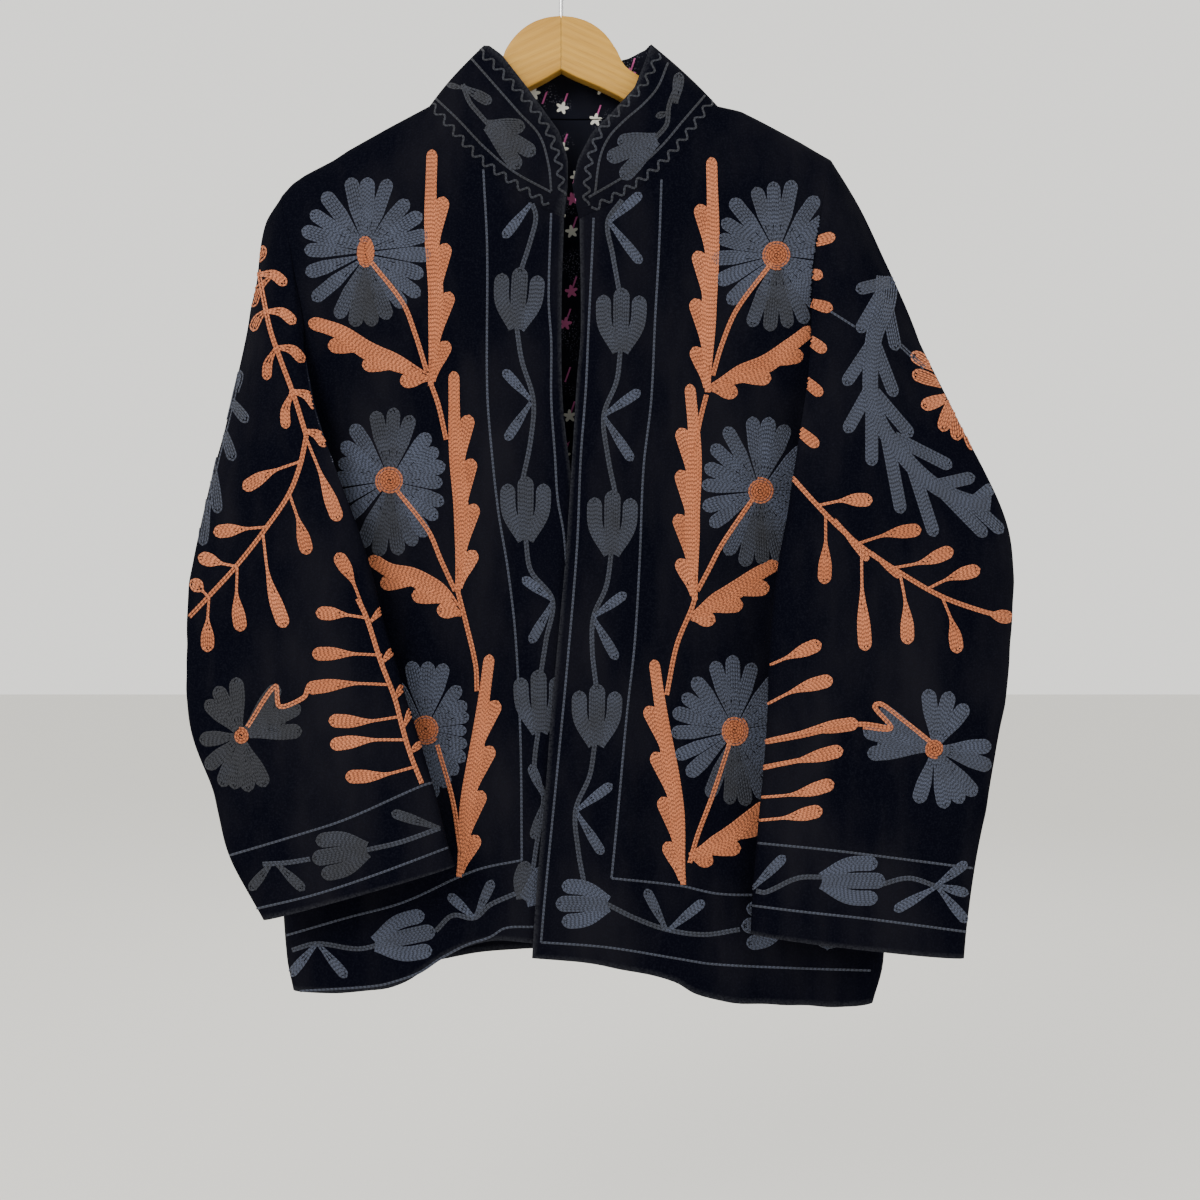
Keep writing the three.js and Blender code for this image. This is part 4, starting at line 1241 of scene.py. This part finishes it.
# %% Right front, on the left as one looks at it
RF = "right_front"
lines(RF, BORDER, (-60, -195, -57, -258, -57, -366, -53, -420, -48, -464, -41, -506,
      -35, -558, -31, -641, -30, -734), (-30, -734, -60, -740, -79, -747, -123, -767, -167, -779,
      -215, -793), (-7, -226, -9, -296, -7, -330, -7, -375, -4, -420, -2, -452, 3, -481, 6, -531,
      8, -609, 9, -687, 9, -786), (9, -786, -24, -786, -43, -787, -55, -794, -73, -800, -94, -811,
      -109, -821, -124, -827, -144, -832, -203, -836))
lines(RF, VINE, (-23, -219, -19, -232, -23, -250, -30, -272), (-34, -318, -30, -344,
      -21, -375, -23, -406, -29, -436), (-27, -483, -23, -508, -6, -531, -11, -562, -16, -594),
      (-17, -631, -20, -664, -13, -683, -19, -726, -23, -754), (-35, -760, -55, -769, -67, -779,
      -84, -777, -97, -789), (-128, -795, -156, -803, -190, -799, -209, -804))
each(leaf, RF, (-23, -222, -44, -248), (-23, -375, -44, -352), (-23, -377, -42, -406),
      (-6, -531, -29, -514), (-6, -533, -23, -564), (-13, -684, -23, -660), (-12, -687, -21, -717),
      (-67, -779, -87, -761), (-66, -778, -53, -750), (-190, -799, -211, -824),
      (-189, -799, -167, -825))
each(tulip, RF, (-34, -319, -31, -272), (-27, -484, -27, -435), (-16, -634, -17, -586),
      (-28, -765, -12, -740), (-144, -799, -98, -789))
serrated(RF, (-101, -364, -97, -297, -101, -235, -100, -180), 4, -1)
serrated(RF, (-101, -358, -126, -347, -151, -336, -172, -322, -196, -314), 3, 1, **SHORT_LEAF)
serrated(RF, (-80, -525, -77, -469, -82, -406, -83, -353), 4, -1)
serrated(RF, (-76, -542, -94, -525, -115, -513, -133, -508, -149, -498), 3, 1, **SHORT_LEAF)
serrated(RF, (-79, -747, -72, -687, -64, -640, -55, -574), 4, -1)
lines(RF, TWIG, (-101, -362, -95, -379, -89, -406), (-80, -524, -73, -551, -66, -582,
      -65, -602), (-147, -268, -123, -299, -114, -321, -104, -353), (-127, -446, -103, -477,
      -93, -500, -82, -524), (-96, -644, -84, -687, -78, -726), level=0.6)
daisy(RF, (-152, -260), 50, 59, (6.8, 12.4))
daisy(RF, (-133, -438), 43, 59, (11, 11), crown=0.3)
daisy(RF, (-105, -632), 33, 55, (11, 11.5), shade=0.8)
count_rows(RF)

# %% [markdown]
# The left front lies on top, so its border is whole down to the hem.

# %% Left front
LF = "left_front"
lines(LF, BORDER, (26, -233, 25, -258, 22, -321, 20, -366, 16, -420, 13, -491, 5, -587,
      -3, -671, -12, -763, -15, -798), (-15, -798, 37, -802, 93, -811, 119, -815, 179, -818,
      242, -820), (79, -203, 77, -258, 74, -312, 71, -375, 65, -428, 62, -500, 58, -566, 52, -620,
      45, -697, 40, -748), (40, -748, 94, -754, 122, -760, 156, -761, 250, -759))
lines(LF, VINE, (48, -219, 37, -236, 41, -262, 46, -290), (47, -336, 44, -360, 34, -387,
      37, -418, 43, -448), (40, -493, 36, -520, 26, -544, 25, -570, 28, -598), (27, -643, 23, -668,
      12, -695, 14, -726, 19, -754), (36, -768, 58, -779, 83, -788, 112, -792, 140, -788),
      (173, -785, 192, -790, 207, -801, 226, -796))
each(leaf, LF, (38, -236, 63, -214), (38, -236, 63, -268), (34, -387, 62, -368),
      (34, -388, 56, -422), (26, -544, 51, -526), (26, -545, 44, -577), (13, -695, 40, -675),
      (13, -697, 33, -729), (83, -789, 67, -757), (84, -789, 112, -766), (207, -801, 197, -777),
      (207, -803, 231, -785))
each(tulip, LF, (47, -337, 48, -288), (40, -495, 41, -446), (28, -644, 29, -597),
      (37, -768, -3, -768), (173, -785, 142, -785))
serrated(LF, (115, -369, 116, -305, 119, -243, 118, -186), 4, 1)
serrated(LF, (116, -366, 140, -355, 162, -346, 179, -333, 197, -319), 3, -1, **SHORT_LEAF)
serrated(LF, (105, -531, 103, -469, 105, -414, 101, -363), 4, 1)
serrated(LF, (101, -545, 121, -533, 139, -522, 154, -511, 170, -502), 3, -1, **SHORT_LEAF)
serrated(LF, (96, -753, 90, -687, 81, -633, 73, -578), 4, 1)
serrated(LF, (101, -731, 119, -723, 136, -712, 148, -701, 161, -690), 3, -1, **SHORT_LEAF)
lines(LF, TWIG, (114, -371, 109, -391, 104, -417), (105, -530, 102, -539, 91, -566,
      83, -605), (165, -268, 138, -304, 126, -332, 119, -356), (151, -451, 126, -488, 115, -509,
      107, -524), (133, -640, 119, -683, 107, -715, 101, -736), level=0.6)
daisy(LF, (169, -262), 50, 59, (11.3, 11.3), turn=4)
daisy(LF, (156, -446), 46, 60, (10.3, 10.3), turn=-5)
daisy(LF, (136, -633), 48, 58, (10.5, 12.0), turn=3)
count_rows(LF)

# %% [markdown]
# ## Needlework of the sleeves
# Each sleeve has rust sprigs of buds, a large grey leaf high up, a four-petalled flower near the
# cuff and a border with one tulip round the cuff. The sleeves are stitched before they are sewn
# shut, which is why their motifs run round the fold and out of sight.

# %% Right sleeve
RS, LS = "right_sleeve", "left_sleeve"
CUFF_LINES = {                     # the two lines of each cuff's border, sewn all the way round
    RS: ((-264, -732, -207, -715, -167, -702, -108, -676, -94, -672),
         (-238, -772, -192, -761, -146, -746, -82, -722)),
    LS: ((148, -720, 209, -726, 266, -733, 328, -741),
         (147, -769, 187, -774, 242, -780, 318, -790))}
lines(RS, TWIG, (-235, -274, -231, -297, -226, -321, -218, -344, -208, -371, -198, -403),
      (-198, -403, -203, -426, -212, -449, -231, -477, -253, -505, -274, -528, -289, -544),
      (-158, -530, -151, -545, -140, -579, -129, -608, -123, -631, -117, -651, -108, -674),
      level=0.3)
each(leaf, RS, (-226, -279, -240, -302), (-228, -304, -240, -321), (-222, -335, -229, -359),
      (-209, -369, -214, -397), (-236, -268, -232, -255), half=4.0, thread="rust", bend=-0.1)
each(leaf, RS, (-236, -277, -214, -285), (-230, -306, -207, -315), (-222, -334, -200, -345),
      (-211, -368, -189, -382), (-200, -399, -183, -411), half=4.3, thread="rust", bend=0.17)
each(bud, RS, (-198, -405, -173, -469), (-203, -423, -247, -444), (-228, -474, -270, -478),
      (-211, -449, -197, -495), (-232, -479, -215, -552), (-252, -506, -249, -555),
      (-274, -529, -275, -571), (-252, -505, -282, -497), (-274, -529, -288, -516),
      (-151, -545, -190, -541), (-139, -574, -193, -573), (-133, -597, -198, -600),
      (-125, -622, -180, -625), (-122, -640, -179, -644), (-113, -661, -167, -669),
      (-155, -534, -174, -495))
each(leaf, RS, (-148, -548, -137, -536), (-139, -580, -130, -569), (-129, -608, -122, -597),
      (-122, -630, -115, -614), (-117, -650, -108, -642), half=3.0, thread="rust")
lines(RS, ("rust", 2, 0.7), (-244, -630, -222, -598, -219, -614, -200, -607, -197, -600), level=0.4)
clover(RS, (-249, -637), (5.8, 6.4), (-253, -592, -268, -599, -276, -610, -220, -598, -203, -614,
      -202, -633, -230, -676, -243, -680, -254, -678, -264, -676, -276, -662, -281, -640,
      -222, -612, -215, -626), 0.0)
lines(RS, ("grey", 3, 0.45), (-251, -353, -260, -391, -270, -430, -279, -486))
each(leaf, RS, (-253, -369, -250, -352), (-259, -373, -244, -392), (-264, -395, -255, -422),
      (-271, -424, -267, -463), (-275, -453, -279, -488), half=4.4, shade=0.45, root=0.7)
lines(RS, CUFF, *CUFF_LINES[RS])
lines(RS, VINE, (-94, -709, -125, -720, -151, -726), (-195, -733, -214, -736,
      -232, -737))
tulip(RS, (-151, -726), (-193, -733), 36, 0.1)
each(leaf, RS, (-94, -709, -131, -697), (-222, -736, -200, -757), (-225, -736, -242, -757),
      shade=0.1)
count_rows(RS)

# %% [markdown]
# The left sleeve falls more freely, so more of it shows. Its grey leaf is a broad bent band with
# fingers on both sides, and a few rust petals reach round from the back.

# %% Left sleeve
lines(LS, TWIG, (176, -430, 207, -464, 233, -488, 264, -509, 297, -528, 330, -540,
      353, -545), (159, -642, 187, -637, 232, -628, 258, -631), (156, -662, 187, -656), level=0.3)
each(leaf, LS, (195, -253, 214, -247), (197, -276, 204, -279), (195, -299, 212, -304),
      (192, -326, 207, -337), (188, -357, 204, -371), (183, -396, 201, -411), half=4.6,
      thread="rust", root=0.8)
each(bud, LS, (202, -457, 243, -453), (232, -487, 281, -476), (260, -506, 306, -492),
      (285, -523, 327, -507), (207, -464, 206, -518), (235, -489, 238, -570),
      (265, -510, 271, -565), (298, -529, 310, -572), (324, -538, 353, -545),
      (158, -584, 203, -565), (158, -614, 212, -593), (158, -641, 232, -627),
      (157, -663, 220, -648), (156, -685, 213, -674), (154, -703, 204, -695))
each(leaf, LS, (214, -468, 240, -500), (243, -494, 265, -513), half=3.0, thread="rust")
lines(LS, ("rust", 2, 0.7), (289, -642, 269, -626, 250, -612, 245, -614, 258, -631, 236, -630),
      level=0.4)
clover(LS, (292, -647), (7.4, 7.4), (287, -601, 304, -603, 317, -613, 336, -645, 336, -661,
      324, -683, 313, -689, 300, -693, 279, -689, 240, -651, 237, -633, 250, -616, 253, -629,
      248, -643), 0.8)
branch = curve_of((255, -279, 253, -301, 245, -325, 242, -353, 243, -375, 251, -396, 264, -414,
                   279, -431, 297, -445, 318, -454, 335, -456))
sew(LS, "grey", filled(branch, lambda t: lerp(8.8, 6.2, smooth(t / 0.3))), 0.72, 0.2)
each(leaf, LS, (257, -283, 231, -289), (251, -291, 233, -322), (254, -297, 262, -336),
      (244, -330, 222, -363), (245, -330, 261, -372), (243, -364, 223, -400),
      (243, -374, 243, -426), (245, -369, 274, -403), (254, -399, 266, -463),
      (260, -404, 305, -427), (275, -428, 292, -481), (292, -442, 323, -435),
      (296, -444, 332, -481), (321, -456, 338, -442), (318, -453, 345, -478), half=5.1, shade=0.72,
      root=1.0)
each(leaf, LS, (292, -350, 274, -339), (299, -363, 275, -354), (302, -373, 282, -380),
      (305, -375, 298, -399), (307, -375, 310, -406), (314, -391, 324, -414), half=5.4,
      thread="rust", root=0.7)
lines(LS, ("grey", 2, 0.6), (265, -332, 284, -350))
lines(LS, ("grey", 1, 0.6), (211, -306, 230, -318))
lines(LS, CUFF, *CUFF_LINES[LS])
lines(LS, VINE, (153, -758, 160, -759, 185, -748, 204, -747), (250, -753, 272, -748,
      295, -755))
tulip(LS, (204, -750), (253, -750), 37)
each(leaf, LS, (150, -756, 175, -731), (293, -755, 261, -773), (295, -754, 318, -760),
      (295, -756, 317, -782), (293, -754, 317, -736))
count_rows(LS)

# %% [markdown]
# ## Needlework of the collar, and the plain lines of the back
# The collar carries two straight lines with a wavy one outside each, and a tulip in each wing.
# The back is plain but for the hem's and the cuffs' lines, which go on round it.

# %% Collar and back
CO, COLLAR_SHADE = "collar", 0.1
HEM_LINES = (13, 62)               # mm from the back's hem up to each line of its border
lines(CO, ("grey", 1, COLLAR_SHADE), (-98, -139, -80, -156, -59, -178, -36, -197, -7, -213),
      (-69, -109, -54, -126, -32, -151, -16, -169, -9, -192, -7, -212), (115, -135, 96, -157,
      78, -178, 57, -196, 22, -217), (84, -112, 76, -131, 65, -144, 50, -157, 38, -170, 31, -186,
      27, -215))
waves(CO, COLLAR_SHADE, (-101, -144, -83, -165, -62, -187, -37, -205, -9, -222), (-64, -102,
      -46, -119, -27, -141, -11, -162, -2, -187, 2, -216), (118, -141, 103, -162, 84, -185,
      62, -204, 25, -226), (77, -105, 65, -129, 47, -148, 32, -165, 23, -188, 20, -223))
lines(CO, ("grey", 2, COLLAR_SHADE), (-76, -129, -71, -142, -64, -151, -56, -160), (94, -123,
      85, -145, 83, -160, 74, -171))
each(leaf, CO, (-57, -160, -28, -162), (-57, -160, -20, -183), (-57, -162, -32, -194), half=6.2,
      shade=COLLAR_SHADE, root=0.6)
each(leaf, CO, (75, -170, 45, -174), (75, -171, 37, -187), (75, -173, 48, -202), half=6.2,
      shade=COLLAR_SHADE + 0.3, root=0.6)
for half, ends in ((4.6, (-75, -131, -54, -143)), (2.6, (-76, -132, -88, -129)),
                   (4.4, (90, -144, 93, -120)), (3.0, (83, -151, 75, -154))):
    each(leaf, CO, ends, half=half, shade=COLLAR_SHADE)
for rise in (0, 29):
    lines(CO, ("grey", 1, COLLAR_SHADE), (-106, rise - 129, -60, rise - 129, 3, rise - 131,
          70, rise - 129, 128, rise - 129), side="back")
waves(CO, COLLAR_SHADE, (-108, -134, -50, -135, 3, -136, 60, -135, 128, -134), side="back")
for rise in HEM_LINES:
    hem = [(x, z + rise) for x, z in BACK_HEM]
    hem[0], hem[-1] = (-226, hem[0][1] + 1), (262, hem[-1][1] + 1)
    sew("back", "grey", stem(spline(hem), 1), 0.5, side="back")
for place, paths in CUFF_LINES.items():
    lines(place, CUFF, *paths, side="back")
print("rows in all:", sum(len(rows) for rows in drawn.values()))

# %% [markdown]
# ## From rows to thread
# A row becomes a narrow ribbon with a rounded back, four vertices across. Some rows lie a little
# higher than others, as they do when a neighbour is sewn up close. The links and notches of the
# chain are left to the finish. All rows of one thread on one piece of cloth are one mesh: a grid
# gives the faces, its vertices are moved along the rows, and the faces that would bridge from one
# row to the next are deleted. Each vertex keeps how far along and across its row it lies, and the
# shade of its motif, for the thread's finish to read.

# %% Threads
ACROSS = (-1.0, -0.45, 0.45, 1.0)  # a row's four vertices, in half widths from its middle
LIFTS = (-0.2, 0.8, 0.8, -0.2)     # how far each stands off the cloth, in row heights
THREAD_HALF = 1.02                 # mm, half a row's width
HIGH_ROW, LOW_ROW = 0.98, 0.72     # mm that a row stands off the cloth
GRAZING = 0.16                     # stitches seen flatter than this are left to the other side


def stations(row, tree, side):
    """Places, normals and numbers of the points of a row dropped on the cloth, run by run."""
    toward_back = 1 if side == "front" else -1
    eye = Vector((EYE.x, EYE.y * toward_back, EYE.z))
    sight = SIGHT * toward_back
    row = [Vector(p) for p in row]
    total = sum((b - a).length for a, b in zip(row, row[1:]))
    if total < 2 * STITCH_STEP:
        return []
    count = max(2, round(total / STITCH_STEP))
    runs, run, walked, k = [], [], 0.0, 0
    for n in range(count + 1):
        target = total * n / count
        while k < len(row) - 2 and walked + (row[k + 1] - row[k]).length < target:
            walked += (row[k + 1] - row[k]).length
            k += 1
        span = max((row[k + 1] - row[k]).length, 1e-6)
        p = row[k].lerp(row[k + 1], clamp((target - walked) / span))
        way = (Vector((p.x * MM, sight, p.y * MM)) - eye).normalized()
        place, normal, face, distance = tree.ray_cast(eye, way)
        if place is not None and normal.dot(way) < -GRAZING:
            run.append((place, normal, n))
        else:
            runs.append(run)
            run = []
    runs.append(run)
    return [run for run in runs if len(run) > 2]


def thread_rows(rows, tree, side):
    """Rows of (place, normal, way across, height, length so far, shade, last of its run)."""
    laid = []
    for row, shade, level in rows:
        for run in stations(row, tree, side):
            phase = rng.random() * 2
            lift = (HIGH_ROW if run[0][2] % 2 else LOW_ROW) + level
            last = len(run) - 1
            for i, (place, normal, n) in enumerate(run):
                along = run[min(i + 1, last)][0] - run[max(i - 1, 0)][0]
                if along.length < 1e-7:
                    along = Vector((0, 0, 1))
                out = along.normalized().cross(normal).normalized()
                laid.append((place, normal, out, lift, (n + phase) * STITCH_STEP, shade, i == last))
    return laid


def thread_piece(laid, name, thread, material):
    bm = bmesh.new()
    bmesh.ops.create_grid(bm, x_segments=len(ACROSS) - 1, y_segments=len(laid) - 1, size=0.5)
    mark = bm.verts.layers.float_vector.new("stitch")
    bm.verts.ensure_lookup_table()
    for i, (place, normal, out, lift, along, shade, last) in enumerate(laid):
        for a, (across, high) in enumerate(zip(ACROSS, LIFTS)):
            v = bm.verts[i * len(ACROSS) + a]
            v.co = place + (out * (across * THREAD_HALF) + normal * (high * lift)) * MM
            v[mark] = (along, across, shade)
    ends = {i for i, row in enumerate(laid) if row[-1]}
    bridges = [f for f in bm.faces if min(v.index for v in f.verts) // len(ACROSS) in ends]
    bmesh.ops.delete(bm, geom=bridges, context="FACES")
    first = next(iter(bm.faces))
    first.normal_update()
    if first.normal.dot(laid[0][1]) < 0:
        bmesh.ops.reverse_faces(bm, faces=bm.faces[:])
    piece = piece_from(bm, name, [material])
    bm.free()
    print(name, len(laid), "stations,", 2 * len(piece.data.polygons), "triangles")
    return piece


embroidery = {}
for place in (RF, LF, "back", RS, LS, CO):
    for thread, material in (("grey", grey_thread), ("rust", rust_thread)):
        laid = []
        for side in ("front", "back"):
            laid += thread_rows(drawn.get((place, thread, side), []), skins[place], side)
        if laid:
            name = place + "_" + thread + "_needlework"
            embroidery.setdefault(place, []).append(thread_piece(laid, name, thread, material))

# %% [markdown]
# ## Sheets of cloth and their cuts
# The size each cloth piece was cut to before it was sewn and hung is listed here: width and length
# of the rectangle round its pattern, and the area of the cut inside that rectangle.

CUTS = {                           # width, length and area of the cut, metres
    "right_front": (0.27, 0.72, 0.155), "left_front": (0.285, 0.73, 0.158),
    "back": (0.50, 0.73, 0.32), "right_sleeve": (0.42, 0.59, 0.135),
    "left_sleeve": (0.42, 0.65, 0.18), "collar": (0.52, 0.10, 0.028),
    "collar_facing": (0.50, 0.10, 0.027), "back_lining": (0.48, 0.67, 0.283)}
for name, (width, length, area) in CUTS.items():
    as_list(embroidery.get(name, []))
    print(name, "is cut from", width, "by", length, "m")

# %% [markdown]
# ## Floor, light and camera
# The jacket hangs over a pale floor in soft studio light. A large soft lamp from the upper left
# does most of the work, a weaker one fills the right, and a pale world keeps the black cloth from
# sinking into the ground.

# %% Floor and lights
def floor_plane(height, half):
    bm = bmesh.new()
    bmesh.ops.create_grid(bm, x_segments=1, y_segments=1, size=half)
    bmesh.ops.translate(bm, verts=bm.verts[:], vec=(0, 0, height))
    mesh = bpy.data.meshes.new("floor")
    bm.to_mesh(mesh)
    bm.free()
    floor = bpy.data.objects.new("floor", mesh)
    bpy.context.collection.objects.link(floor)
    material = finish("pale_floor", Roughness=0.9, Base_Color=colour(0.72, 0.71, 0.68))[0]
    mesh.materials.append(material)


def soft_lamp(name, place, size, power, tint):
    lamp = bpy.data.lights.new(name, "AREA")
    lamp.shape, lamp.size, lamp.energy, lamp.color = "DISK", size, power, tint
    holder = bpy.data.objects.new(name, lamp)
    holder.location = place
    holder.rotation_euler = (CHEST - Vector(place)).to_track_quat("-Z", "Y").to_euler()
    bpy.context.collection.objects.link(holder)


FLOOR_HEIGHT, FLOOR_HALF = -1.15, 9
CHEST = Vector((0, 0, -0.5))       # every lamp is aimed here
floor_plane(FLOOR_HEIGHT, FLOOR_HALF)
soft_lamp("key", (-1.3, -2.2, 0.7), 1.4, 62, (1.0, 0.98, 0.95))
soft_lamp("fill", (1.9, -1.8, 0.0), 1.6, 16, (0.92, 0.96, 1.0))
soft_lamp("rim", (0.4, 1.8, 0.9), 1.2, 18, (1.0, 1.0, 1.0))
world = bpy.data.worlds.new("pale_room")
world.use_nodes = True
background = world.node_tree.nodes["Background"].inputs
background["Color"].default_value = colour(0.86, 0.85, 0.81)
background["Strength"].default_value = 1.6
bpy.context.scene.world = world
print("three soft lamps and a pale room")

# %% [markdown]
# The camera stands straight in front, at the height of the chest, where the eye was for the
# needlework. Its lens takes in the jacket from the hook to the hem.

# %% Camera
view = bpy.data.cameras.new("front_view")
view.sensor_width, view.lens = 36.0, 46.92
camera = bpy.data.objects.new("front_view", view)
camera.location = EYE
camera.rotation_euler = (math.radians(90), 0, 0)
bpy.context.collection.objects.link(camera)
bpy.context.scene.camera = camera
print("camera at", tuple(round(v, 3) for v in EYE))
